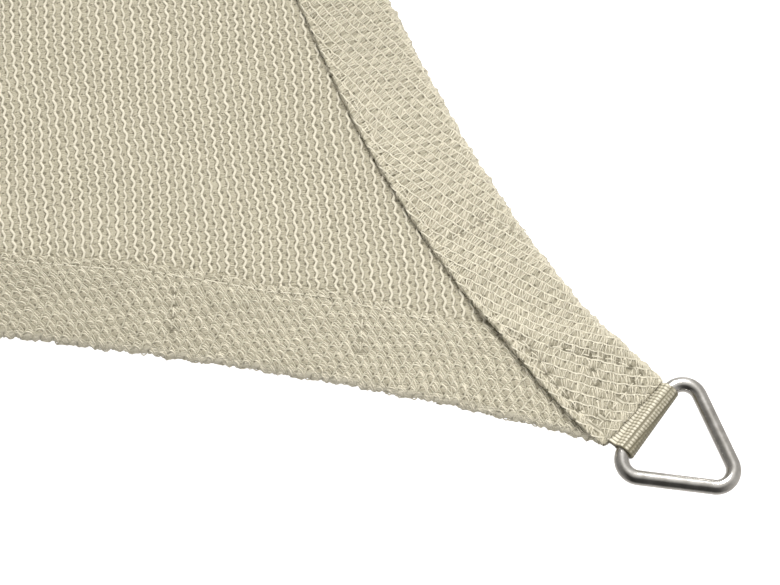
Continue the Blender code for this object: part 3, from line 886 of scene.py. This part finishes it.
def yarn_finish(name, color, shade):
    """Round cream yarn: brighter or darker with the stitch's tone, which on the hems carries painted shade,
    with fine flecks along it.
    """
    finish = Finish(name, CLOTH_ROUGHNESS, specular=YARN_SPECULAR)
    fleck = finish.cloud(FLECK_CELLS, detail=1.0).climb(*CLOUD_SPREAD)
    amount = (finish.attribute("tone") + 1) * (0.5 * TONE_SHARE) + fleck * (1 - TONE_SHARE)
    finish.feed("Base Color", finish.mix(shade, color, amount))
    return finish.material


strong_yarn = yarn_finish("strong_yarn", STRONG_COLOR, CHAIN_SHADE)
fine_yarn = yarn_finish("fine_yarn", FINE_COLOR, CHAIN_SHADE)
filament_yarn = yarn_finish("filament_yarn", FILAMENT_COLOR, FILAMENT_SHADE)

stitches = lattice_near(patch_outline())
strong, fine = two_kinds(stitches[on_panel(stitches)])
for name, numbers, table, radius, sides, material in (
        ("strong_chains", strong, STRONG_CHAIN, STRONG_RADIUS, CHAIN_SIDES, strong_yarn),
        ("fine_chains", fine, FINE_CHAIN, FINE_RADIUS, BACK_SIDES, fine_yarn)):
    path_numbers, heights, tones = chain_strands(numbers, table, SEED)
    add_yarn(name, *on_face(path_numbers, heights, radius), tones, sides, material)

draw = np.random.default_rng(SEED)
for name, numbers, table in (("strong_side_filaments", strong, STRONG_TO_FINE),
                             ("fine_side_filaments", fine, FINE_TO_STRONG)):
    path_numbers, heights, sizes, tones = cross_threads(numbers, table, draw, FACE_LAY, FACE_STRAY)
    add_yarn(name, *on_face(path_numbers, heights, FILAMENT_RADIUS * sizes), tones, THIN_SIDES, filament_yarn)

# ================================================================ yarn of the hems
# The reverse of the same knit on the turned cloth: the thin back of every chain, and between
# the chains four to six slanted floats a stitch, with gaps under them.

STRONG_BACK = ((0.0, -0.14, 0.04), (0.25, 0.14, 0.12), (0.55, 0.20, 0.10), (0.85, -0.08, 0.02),
               (1.0, -0.14, 0.04))
FINE_BACK = ((0.0, -0.16, 0.04), (0.25, 0.12, 0.10), (0.5, 0.18, 0.12), (0.8, -0.10, 0.02),
             (1.0, -0.16, 0.04))
STRONG_BACK_RADIUS, FINE_BACK_RADIUS, RUNG_RADIUS = 0.27 * MM, 0.26 * MM, 0.26 * MM
# The rungs: the knit lies open on the hem that leaves the corner, and is drawn into scales on the other
OPEN_RUNGS = ((0.23, 0.26, 0.0, 1.0, 0.03, 1.15, 0.6), (0.38, 0.43, 0.0, 1.0, 0.0, 0.9, 0.0),
              (0.54, 0.57, 0.0, 1.0, 0.0, 1.1, 0.5), (0.68, 0.74, 0.0, 1.0, 0.0, 0.9, -0.2),
              (0.86, 0.84, 0.0, 1.0, -0.02, 1.0, 0.3), (0.06, 0.04, 0.0, 1.0, 0.0, 0.62, -1.2))
# On the scales the first rung's lighter tone is a painted highlight on the upper rim, and the last rung's
# darker tone painted shade at the foot
SCALE_RUNGS = ((0.32, 0.22, 0.03, 0.97, 0.13, 1.3, 0.9), (0.60, 0.40, 0.02, 0.98, 0.03, 1.1, 0.3),
               (0.80, 0.58, 0.02, 0.98, 0.0, 1.1, 0.1), (1.02, 0.84, 0.05, 0.95, 0.0, 0.7, -1.0))
FOLD_DROP, FOLD_REACH = 1.1 * MM, 1.6 * MM   # how far the yarn goes down over the folded edge, and past it
HEM_LAY, HEM_STRAY = (0.0, 0.10, -0.10, 0.08), 0.09        # of the rungs, as of the threads of the face
HEM_TONES = {"start": (1.05, 0.45), "end": (-0.35, 0.6)}   # of backs and rungs before painted shade is taken off: the hem that starts at the corner painted lighter than the one that ends there
SHADE_TONE, HOLE_TONE = 2.0, 1.6         # how much a full painted shade and the painted shade of a needle's hole take off them
HEM_RUNGS = {"start": OPEN_RUNGS, "end": SCALE_RUNGS}
# How far the yarn stays off the raw edge and the cloth's end, and the most that it sinks beyond them
LEAST, DEEPEST = 0.1 * MM, 2 * MM
RAW_REACH, CUT_REACH, LAP_COVER = 0.8 * MM, 0.5 * MM, 3 * MM   # stitches past the raw edge, the end and a lap
SPARE, SPANS, DEPTHS = 10 * MM, 60, 9    # of the search for the stitches of a hem
BACK_COLOR, BACK_SHADE = (0.68, 0.636, 0.517), (0.40, 0.37, 0.28)
RUNG_COLOR, RUNG_SHADE = (0.69, 0.645, 0.525), (0.48, 0.445, 0.345)


def on_hem(quarters, path_numbers, heights, radii):
    """Paths of the flat cloth mirrored in a side's edge onto its hem, their radii and the painted shade that
    they take.
    """
    along, inset = side_place(knit_points(path_numbers), quarters)
    depth = np.clip(-inset, 0.0, HEM_WIDTH - LEAST)
    place = np.maximum(along, CLOTH_END - LEAST)
    shown = hem_points(quarters, place, depth)
    past = np.clip(-inset - depth, 0, None) + np.abs(place - along)
    sunk = np.minimum(past, DEEPEST) + np.clip(inset, 0, FOLD_DROP)
    pulled = needle_pull(place, depth, SINK_RADIUS)
    heights, radii = faded(patch_share(shown[..., :2]), heights, radii)
    shown[..., 2] += heights - SINK_DEPTH * pulled - sunk
    # Painted shade on the yarn: by place along the hem, and beside the needle holes
    return shown, radii, SHADE_TONE * painted_hem_shade(place) + HOLE_TONE * pulled


def hem_lattice(quarters):
    """Stitches of the cloth that is turned over on a side, inside the patch, and their places there."""
    along = side_place(patch_outline(), quarters)[0]
    start, end = max(along.min(), -SPARE), min(along.max(), CHORD_LENGTH + SPARE)
    depths = np.linspace(0, HEM_WIDTH, DEPTHS)
    flat = turn(side_point(np.linspace(start, end, SPANS)[:, None], -depths), quarters).reshape(-1, 2)
    numbers = lattice_near(flat)
    along, inset = side_place(knit_points(numbers + [0, 0.5]), quarters)
    kept = (inset < FOLD_REACH) & (-inset < HEM_WIDTH + RAW_REACH) & (along > CLOTH_END - CUT_REACH)
    shown = turn(side_point(np.clip(along, 0, CHORD_LENGTH), np.clip(-inset, 0, HEM_WIDTH)), quarters)
    next_along, next_inset = side_place(shown, (quarters + 1) % SIDES)
    covered = (next_inset < inner_edge(next_along) - LAP_COVER) | (next_along < CLOTH_END)
    kept &= (along <= CHORD_LENGTH / 2) | ~covered
    kept &= along < np.interp(-inset, depths, last_places(depths))
    return numbers[kept & (patch_share(shown) > FADED_OUT)]


back_yarn = yarn_finish("back_yarn", BACK_COLOR, BACK_SHADE)
rung_yarn = yarn_finish("rung_yarn", RUNG_COLOR, RUNG_SHADE)
for label, quarters in NEAR_HEMS:
    strong, fine = two_kinds(hem_lattice(quarters))
    back_tone, rung_tone = HEM_TONES[label]
    for name, some, table, radius in (("strong_backs", strong, STRONG_BACK, STRONG_BACK_RADIUS),
                                      ("fine_backs", fine, FINE_BACK, FINE_BACK_RADIUS)):
        path_numbers, heights, tones = chain_strands(some, table, BACK_SEED)
        paths, radii, yarn_painted_shade = on_hem(quarters, path_numbers, heights, radius)
        add_yarn(f"hem_{label}_{name}", paths, radii, tones + back_tone - yarn_painted_shade, BACK_SIDES, back_yarn)
    for name, some, later in (("strong_rungs", strong, 0.0), ("fine_rungs", fine, 0.5)):
        path_numbers, heights, sizes, tones = cross_threads(
            some + [0, later], HEM_RUNGS[label], draw, HEM_LAY, HEM_STRAY)
        paths, radii, yarn_painted_shade = on_hem(quarters, path_numbers, heights, RUNG_RADIUS * sizes)
        add_yarn(f"hem_{label}_{name}", paths, radii, tones + rung_tone - yarn_painted_shade, THIN_SIDES, rung_yarn)

# ================================================================ stitching and edge loops
# Cream thread: a seam inside each hem's raw edge, short rows across the hems and a boxed row at the
# corner. Along the folded edges the knit's own yarn stands out in small uneven loops.

THREAD_RADIUS, LOOP_RADIUS, ROUND_SIDES = 0.24 * MM, 0.26 * MM, 6
THREAD_COLOR, THREAD_SHADE = (0.64, 0.60, 0.49), (0.54, 0.50, 0.395)
THREAD_TONE = 0.8                        # largest random change of a stitch's tone
ROW_RISE = {"start": 0.25 * MM, "end": 0.0}        # of a stitch above the knit, halfway between its ends
SEAM_RISE = 0.10 * MM
STITCH_SHARES = (0.03, 0.14, 0.5, 0.86, 0.97)      # where a stitch has its points
STITCH_DIVE, STITCH_SHOULDER = -0.55 * MM, 0.05 * MM
SEAM_WAVES = ((0.35, 23, 0), (0.2, 7, 0))
LOOP_PITCH, LOOP_STRAY, LOOP_SAG = 1.7 * MM, 0.9 * MM, 1.1 * MM
LOOP_REACH = {"start": 0.70 * MM, "end": 0.42 * MM}
LOOP_ROOT = 0.9 * MM                     # a loop starts this far inside the folded edge
LOOP_REACHES, LOOP_HALF_WIDTHS = (-0.2, 1.0), (0.5 * MM, 1.3 * MM)     # ranges, the first as a share
# One loop: place along in half widths, share of its reach, and height in mm
LOOP_LINE = ((-1.2, 0.0, -0.3), (-0.8, 0.7, -0.25), (0.0, 1.0, -0.5), (0.8, 0.7, -0.25), (1.2, 0.0, -0.3))
SEEN = 0.5                               # share of the patch above which stitches and loops are made


def thread_stitches(quarters, marks, rise):
    """One sewn stitch from each needle place to the next: it dives at both ends and bridges between them."""
    share = np.array(STITCH_SHARES)
    height = np.array([STITCH_DIVE, STITCH_SHOULDER, rise, STITCH_SHOULDER, STITCH_DIVE])
    line = marks[:-1, None] + share[:, None] * (marks[1:, None] - marks[:-1, None])
    return hem_points(quarters, line[..., 0], line[..., 1], height)


def seam_marks(quarters):
    """Needle places along a hem's seam, inside the patch."""
    along = np.arange(STITCH_PITCH, CHORD_LENGTH, STITCH_PITCH)
    marks = np.stack([along, SEAM_INSET + waves(along, SEAM_WAVES)], axis=-1)
    shown = turn(side_point(marks[:, 0], marks[:, 1]), quarters)
    next_inset = side_place(shown, (quarters + 1) % SIDES)[1]
    open_to_view = (along < CHORD_LENGTH / 2) | (next_inset > HEM_WIDTH + 2 * MM)
    return marks[open_to_view & (patch_share(shown) > SEEN)]


def edge_loops(quarters, longest, draw):
    """Small loops of yarn over the folded edge, inside the patch."""
    along = np.arange(CLOTH_END + 2 * MM, last_places([0.0])[0] - 2 * MM, LOOP_PITCH)
    along = along[patch_share(turn(side_point(along, 0.0), quarters)) > SEEN]
    count = (len(along), 1)
    place, share, height = np.array(LOOP_LINE).T
    along = along[:, None] + draw.uniform(-LOOP_STRAY, LOOP_STRAY, count)
    reach = longest * draw.uniform(*LOOP_REACHES, count)
    half = draw.uniform(*LOOP_HALF_WIDTHS, count)
    heights = height * MM - draw.uniform(0, LOOP_SAG, count)
    return hem_points(quarters, along + half * place, LOOP_ROOT - (LOOP_ROOT + reach) * share, heights)


thread = yarn_finish("sewing_thread", THREAD_COLOR, THREAD_SHADE)
seams, rows_across, loops = [], [], []
for label, quarters in NEAR_HEMS:
    seams.append(thread_stitches(quarters, seam_marks(quarters), SEAM_RISE))
    loops.append(edge_loops(quarters, LOOP_REACH[label], draw))
    for marks in cross_rows():
        if (marks[0, 0] < CHORD_LENGTH / 2) == (label == "start"):
            rows_across.append(thread_stitches(quarters, marks, ROW_RISE[label]))
for name, lines, radius in (("seam_stitches", seams, THREAD_RADIUS),
                            ("cross_stitches", rows_across, THREAD_RADIUS),
                            ("edge_loops", loops, LOOP_RADIUS)):
    paths = np.concatenate(lines)
    tones = draw.uniform(-THREAD_TONE, THREAD_TONE, (len(paths), 1))
    add_yarn(name, paths, radius, tones, ROUND_SIDES, thread)

# ================================================================ corner webbing
# A short piece of ribbed polypropylene webbing, folded once round the ring's bar. Both plies run
# into the end of the hem and are sewn there.

WIRE_RADIUS = 2.5 * MM
WEBBING_WIDTH = 26.6 * MM
PLY = 1.2 * MM
WRAP_INNER = WIRE_RADIUS + 0.15 * MM
WRAP_OUTER = WIRE_RADIUS + 0.3 * MM + PLY    # with the solid's clearance round the bar
WRAP_HALF_ANGLE = math.radians(112)      # past this the plies run straight to the hem
BAR_TO_CLOTH = 4.8 * MM
BAR_INSET = 14.4 * MM
BAR_SWING = math.radians(4.6)
SWING_REACH = WEBBING_WIDTH / 2 * math.tan(BAR_SWING)
TAIL_DEPTH = 14 * MM
TAIL_MIDDLE = 3.9 * MM
RIBS = 23
RIB_DEPTH = 0.17 * MM
PICK_PITCH = 1.9 * MM                    # one dash of a rib
DASH_SHIFT, DASH_TURNS = 0.10, 2.3       # how the dashes of one rib are off those of the next
CREASE_OFFSET, CREASE_LEAN = 0.15 * MM, -1.3 * MM   # a crease runs askew along the crest
CREASE_WIDTH, CREASE_DEPTH = 0.30 * MM, 0.25 * MM
SHADY_OFFSET, SHADY_LEAN = 3.0 * MM, -2.2 * MM      # a second crease, with painted shade on the weave past it
SQUASH = (0.68, 0.22)                    # how much the wrap gives towards the bar, at its two ends, in mm
TAIL_ROWS, SLOPE_ROWS, WRAP_ROWS, RIB_POINTS = 8, 12, 60, 4
RIB_COLOR, GROOVE_SHADE, RIB_SPREAD = (0.62, 0.58, 0.465), (0.16, 0.142, 0.09), (0.15, 0.85)
WEAVE_SHARES, WEAVE_CELLS, WEAVE_ROUGHNESS = {"rib": 0.9, "fleck": 0.12}, 700.0, 0.55
# Height of a rib between its dashes and depth of the second crease, as shares; how flat the ribs are
# in both creases; and the painted shade that takes light off the weave past the second crease and past the
# first
RIB_SHARE, SHADY_CREASE, FLATTENED, SHADY_LOSS, CREASE_LOSS = 0.45, 0.8, 0.7, 0.45, 0.15
PLY_CLEARANCE, TAIL_CLEARANCE = 0.05 * MM, 0.3 * MM


def corner_frame(quarters):
    """Frame of a corner: origin in the middle of the bar, X along the bar, Y away from the sail."""
    heading = math.atan(edge_slope(CLOTH_END))
    middle = side_point(CLOTH_END, BAR_INSET)
    bar = Vector((*(middle - BAR_TO_CLOTH * plan_unit(heading)), WRAP_OUTER))
    quarter = Matrix.Rotation(quarters * QUARTER_TURN, 4, "Z")
    return quarter @ Matrix.Translation(bar) @ Matrix.Rotation(heading + QUARTER_TURN + BAR_SWING, 4, "Z")


def moved(points, matrix):
    """Points through a 4 by 4 matrix."""
    array = np.array(matrix)
    return points @ array[:3, :3].T + array[:3, 3]


def wrap_line(reach, tail_height):
    """Line round the bar at a radius, with its two plies running straight into the hem: (Y, Z) points."""
    angles = np.linspace(WRAP_HALF_ANGLE, -WRAP_HALF_ANGLE, WRAP_ROWS)
    arc = reach * np.stack([np.cos(angles), np.sin(angles)], axis=-1)
    mouth = -(BAR_TO_CLOTH - SWING_REACH - TAIL_CLEARANCE)
    tail = np.linspace(-(BAR_TO_CLOTH + TAIL_DEPTH), mouth, TAIL_ROWS)
    upper = np.stack([tail, np.full(tail.shape, TAIL_MIDDLE + tail_height - WRAP_OUTER)], axis=-1)
    lower = np.stack([tail[::-1], np.full(tail.shape, TAIL_MIDDLE - tail_height - WRAP_OUTER)], axis=-1)
    share = np.linspace(0, 1, SLOPE_ROWS)[1:-1, None]
    rising = upper[-1] + share * (arc[0] - upper[-1])
    falling = arc[-1] + share * (lower[0] - arc[-1])
    return np.concatenate([upper, rising, arc, falling, lower])


def webbing_mesh():
    """Outer and inner faces of the folded strip, the outer one raised in ribs of short dashes, with a tone that
    paints shade into the grooves and past the creases.
    """
    outer = wrap_line(WRAP_OUTER - RIB_DEPTH, PLY - RIB_DEPTH)
    inner = wrap_line(WRAP_INNER, PLY_CLEARANCE)
    length = running_length(outer)
    tangent = unit(np.gradient(outer, axis=0))
    outward = np.stack([-tangent[:, 1], tangent[:, 0]], axis=-1)
    across = np.linspace(-0.5, 0.5, RIBS * RIB_POINTS + 1)
    rib = (across + 0.5) * RIBS
    crown = np.sqrt(np.clip(1 - (2 * (rib - np.floor(rib)) - 1) ** 2, 0, 1))
    shift = DASH_SHIFT * np.sin(DASH_TURNS * rib)
    dash = 0.5 + 0.5 * np.cos(FULL_TURN * (length[:, None] / PICK_PITCH + shift))
    past_crest = length[:, None] - length[np.argmax(outer[:, 1])]
    off_crease = (past_crest - CREASE_OFFSET - CREASE_LEAN * across) / CREASE_WIDTH
    past_shady = past_crest - SHADY_OFFSET - SHADY_LEAN * across
    crease = np.exp(-off_crease ** 2) + SHADY_CREASE * np.exp(-(past_shady / CREASE_WIDTH) ** 2)
    rise = RIB_DEPTH * crown * (RIB_SHARE + (1 - RIB_SHARE) * dash) * (1 - FLATTENED * crease)
    rise = rise - CREASE_DEPTH * crease
    x = np.broadcast_to((across * WEBBING_WIDTH)[:, None], (*rise.shape, 1))
    top = np.concatenate([x, outer[:, None] + outward[:, None] * rise[..., None]], axis=-1)
    bottom = np.concatenate([x, np.broadcast_to(inner[:, None], (*rise.shape, 2))], axis=-1)
    give = np.interp(across, (-0.5, 0.5), SQUASH) * MM
    top[..., 1] -= give * np.clip(top[..., 1] / WRAP_OUTER, 0, 1)
    # Painted shade: the tone follows the ribs' height, so the grooves are darker, and it drops past each crease
    light = (1 - SHADY_LOSS * (past_shady > 0)) * (1 - CREASE_LOSS * (off_crease > 0))
    tone = np.concatenate([np.clip(rise / RIB_DEPTH, 0, 1) * light, np.zeros(rise.shape)])
    points, polygons = shell(top, bottom)
    return points, [block[:, ::-1] for block in polygons], tone


def webbing_finish():
    """Ribbed webbing: pale on the crowns of the dashes, with painted shade in the grooves between the ribs and
    past the creases, from the mesh's tone.
    """
    finish = Finish("webbing_weave", WEAVE_ROUGHNESS, specular=YARN_SPECULAR)
    rib = finish.attribute("tone").climb(*RIB_SPREAD) * WEAVE_SHARES["rib"]
    fleck = finish.cloud(WEAVE_CELLS, roughness=0.6) * WEAVE_SHARES["fleck"]
    finish.feed("Base Color", finish.mix(GROOVE_SHADE, RIB_COLOR, rib + fleck))
    return finish.material


webbing_weave = webbing_finish()
strip_points, strip_polygons, strip_tone = webbing_mesh()
for quarters in range(SIDES):
    webbing = add_piece(f"webbing_strip_{quarters + 1}", moved(strip_points, corner_frame(quarters)),
                        strip_polygons, webbing_weave, tone=strip_tone)
    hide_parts(f"corner_webbing_{quarters + 1}")

# ================================================================ corner rings
# Round stainless wire, 5 mm thick, bent into a triangle and welded under the webbing, with a
# satin polish that runs along the wire.

RING_SIDE = 45.3 * MM
RING_HEIGHT = RING_SIDE * math.sqrt(3) / 2
BEND_RADIUS = 5.9 * MM
THIRD_TURN = FULL_TURN / 3
BEND_POINTS, RUN_POINTS, WIRE_SIDES = 25, 14, 40
STEEL_COLORS = (0.56, 0.54, 0.505), (0.78, 0.76, 0.725)
STEEL_CLOUD_CELLS, MARK_CELLS, MARK_STRETCH = 260.0, 1500.0, (1.0, 1.0, 4.0)
STEEL_ROUGHNESS = 0.26                   # on the whole; its three parts and the depth of the marks follow
LEAST_ROUGHNESS, CLOUD_ROUGHNESS, MARK_ROUGHNESS, MARK_DEPTH = 0.12, 0.10, 0.08, 0.012 * MM


def ring_line():
    """Centreline of the wire in its plane, with three bends and three straight runs, and outward directions."""
    middle = np.array([0.0, RING_HEIGHT / 3])
    points, outward = [], []
    for corner in range(3):
        facing = QUARTER_TURN + corner * THIRD_TURN
        centre, next_centre = (middle + plan_unit(angle) * (RING_HEIGHT * 2 / 3 - 2 * BEND_RADIUS)
                               for angle in (facing, facing + THIRD_TURN))
        angles = facing + np.linspace(-0.5, 0.5, BEND_POINTS) * THIRD_TURN
        bend = np.stack([np.cos(angles), np.sin(angles)], axis=-1)
        share = np.linspace(0, 1, RUN_POINTS)[1:-1, None]
        points += [centre + BEND_RADIUS * bend,
                   centre + BEND_RADIUS * bend[-1] + share * (next_centre - centre)]
        outward += [bend, np.broadcast_to(bend[-1], points[-1].shape)]
    return np.concatenate(points), np.concatenate(outward)


def ring_mesh():
    """A circle square to the centreline carried once round it."""
    line, outward = ring_line()
    angles = np.arange(WIRE_SIDES) * FULL_TURN / WIRE_SIDES
    plan_points = line[:, None] + outward[:, None] * (WIRE_RADIUS * np.cos(angles))[None, :, None]
    points = raised(plan_points, np.broadcast_to(WIRE_RADIUS * np.sin(angles), plan_points.shape[:2]))
    index = numbered(len(line), WIRE_SIDES)
    closed = np.concatenate([index, index[:1]])
    return points.reshape(-1, 3), [grid_quads(closed, closed_columns=True)[:, ::-1]]


def steel_finish():
    """Satin stainless steel: a little uneven in gloss and tone, with fine marks."""
    finish = Finish("satin_steel", STEEL_ROUGHNESS, metallic=1.0)
    cloud = finish.cloud(STEEL_CLOUD_CELLS, detail=3.0, roughness=0.6)
    marks = finish.cloud(MARK_CELLS, roughness=0.6, stretch=MARK_STRETCH)
    finish.feed("Base Color", finish.mix(*STEEL_COLORS, cloud.climb(*CLOUD_SPREAD)))
    finish.feed("Roughness", cloud * CLOUD_ROUGHNESS + marks * MARK_ROUGHNESS + LEAST_ROUGHNESS)
    finish.relief(marks, MARK_DEPTH)
    return finish.material


satin_steel = steel_finish()
ring_points, ring_polygons = ring_mesh()
droop = math.asin((WRAP_OUTER - WIRE_RADIUS) / (RING_HEIGHT - BEND_RADIUS))
for quarters in range(SIDES):
    place = corner_frame(quarters) @ Matrix.Rotation(-droop, 4, "X")
    ring = add_piece(f"wire_ring_{quarters + 1}", moved(ring_points, place), ring_polygons, satin_steel)
    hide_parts(f"corner_ring_{quarters + 1}")

# ================================================================ floor, light and camera
# A plain white sweep, a large soft key light from behind and above, a weak one over the corner, a
# low one in front, a sky, and the camera at the angle of the photograph, close over one corner.

VIEW_TARGET = Vector((*PATCH_MIDDLE, 0.0))
VIEW_AZIMUTH, VIEW_ELEVATION = 188.775, 70.25    # of the camera seen from its target, as the lamps'
VIEW_DISTANCE = 0.95
VIEW_WIDTH = 0.260                       # of the floor across the frame, at the target
SENSOR_WIDTH, NEAREST = 36.0, 0.05       # of the camera, in mm and in metres

# The sweep's profile: out from the middle and up, in metres
SWEEP_PROFILE = ((0.0, 0.0), (3.0, 0.0), (9.0, 0.0), (14.0, 1.0), (18.0, 4.0), (21.0, 9.0), (21.0, 16.0))
SWEEP_SIDES = 48
FLOOR_LEVEL = -0.2 * MM
FLOOR_VALUES = {"Roughness": 0.9, "Specular IOR Level": 0.0, "Base Color": (0.60, 0.60, 0.60, 1),
                "Emission Color": (1, 1, 1, 1), "Emission Strength": 0.95}

# Square lamps: name, target, azimuth and elevation in degrees, distance and size in metres, power in
# watts, and whether metal mirrors them
LAMPS = (
    ("key_light", (0.3, -0.3, 0), 12, 50, 6.0, 2.6, 510, True),
    ("corner_light", (1.03, -1.0, 0), 150, 80, 0.45, 0.25, 0.6, False),
    ("front_light", (0.5, -0.8, 0), 186, 22, 3.0, 1.5, 46, False),
)
LAMP_COLOR = (1.0, 0.995, 0.985)

# A sky that is bright overhead and behind, and dark in front. Its shades go by the angle from straight
# up, towards the back as positive, in degrees. It is darker to the left and to the right, from one
# share of the way across to another, and below the horizon it is the light that a white table gives back.
SKY = ((-90, 0.08), (-34, 0.08), (-6, 0.62), (14, 0.88), (34, 1.0), (62, 0.95), (90, 0.72))
SKY_TINT, CHANGE_TINT = (1.0, 0.985, 0.96), (1.0, 0.975, 0.94)
SKY_STRENGTH = 1.1
# Axis (X, Y or Z as 0, 1 or 2), where a change starts and where it is complete, its shade and its blend
SKY_CHANGES = (
    (0, 0.25, -0.45, 0.32, "MULTIPLY"),
    (0, -0.50, -0.90, 0.20, "MIX"),
    (0, 0.20, 0.70, 0.44, "MIX"),
    (2, -0.10, -0.85, 0.66, "MIX"),
)


def add_object(name, data):
    """An object of the scene that isn't a piece."""
    made = bpy.data.objects.new(name, data)
    bpy.context.scene.collection.objects.link(made)
    return made


def aim(thing, target, azimuth, elevation, distance):
    """Put a lamp or the camera off a target, by its azimuth as on a compass from +Y, and turn it there."""
    turned, height = math.radians(azimuth), math.radians(elevation)
    away = Vector((math.sin(turned) * math.cos(height), math.cos(turned) * math.cos(height), math.sin(height)))
    thing.location = Vector(target) + away * distance
    thing.rotation_euler = (-away).to_track_quat("-Z", "Y").to_euler()


out, up = np.array(SWEEP_PROFILE)[1:].T
round_angles = np.arange(SWEEP_SIDES) * FULL_TURN / SWEEP_SIDES
sweep = np.stack([out[:, None] * np.cos(round_angles), out[:, None] * np.sin(round_angles),
                  np.broadcast_to(up[:, None] + FLOOR_LEVEL, (len(out), SWEEP_SIDES))], axis=-1)
index = numbered(len(out), SWEEP_SIDES)
quads = grid_quads(index, closed_columns=True)[:, ::-1]
floor_mesh = bpy.data.meshes.new("white_floor")
floor_mesh.from_pydata(sweep.reshape(-1, 3).tolist(), [], [index[0].tolist()] + quads.tolist())
floor_paint = bpy.data.materials.new("floor_paint")
Nodes(floor_paint, "Principled BSDF", FLOOR_VALUES)
floor_mesh.materials.append(floor_paint)
floor = add_object("white_floor", floor_mesh)
floor.visible_diffuse = floor.visible_glossy = floor.visible_shadow = False

for name, target, azimuth, elevation, distance, size, power, mirrored in LAMPS:
    light = bpy.data.lights.new(name, "AREA")
    light.size, light.energy, light.color = size, power, LAMP_COLOR
    lamp = add_object(name, light)
    aim(lamp, target, azimuth, elevation, distance)
    lamp.visible_glossy = mirrored

bpy.context.scene.world = bpy.data.worlds.new("studio")
studio = Nodes(bpy.context.scene.world, "Background", {"Strength": SKY_STRENGTH})
sky_axes = studio.split(studio.place("Generated"))
overhead = sky_axes[1].math("ARCTAN2", sky_axes[2]).climb(-QUARTER_TURN, QUARTER_TURN)
stops = [(degrees / 180 + 0.5, (*(shade * tint for tint in SKY_TINT), 1)) for degrees, shade in SKY]
sky = studio.node("ShaderNodeValToRGB", {"stops": stops}, {"Fac": overhead}, "Color")
for axis, starts, complete, shade, how in SKY_CHANGES:
    changed = tuple(shade * tint for tint in CHANGE_TINT)
    sky = studio.mix(sky, changed, sky_axes[axis].climb(starts, complete), how)
studio.feed("Color", sky)

camera_data = bpy.data.cameras.new("camera")
camera_data.sensor_width = SENSOR_WIDTH
camera_data.lens = SENSOR_WIDTH * VIEW_DISTANCE / VIEW_WIDTH
camera_data.clip_start = NEAREST
camera = add_object("camera", camera_data)
aim(camera, VIEW_TARGET, VIEW_AZIMUTH, VIEW_ELEVATION, VIEW_DISTANCE)
bpy.context.scene.camera = camera
bpy.context.scene.view_settings.view_transform = "Standard"
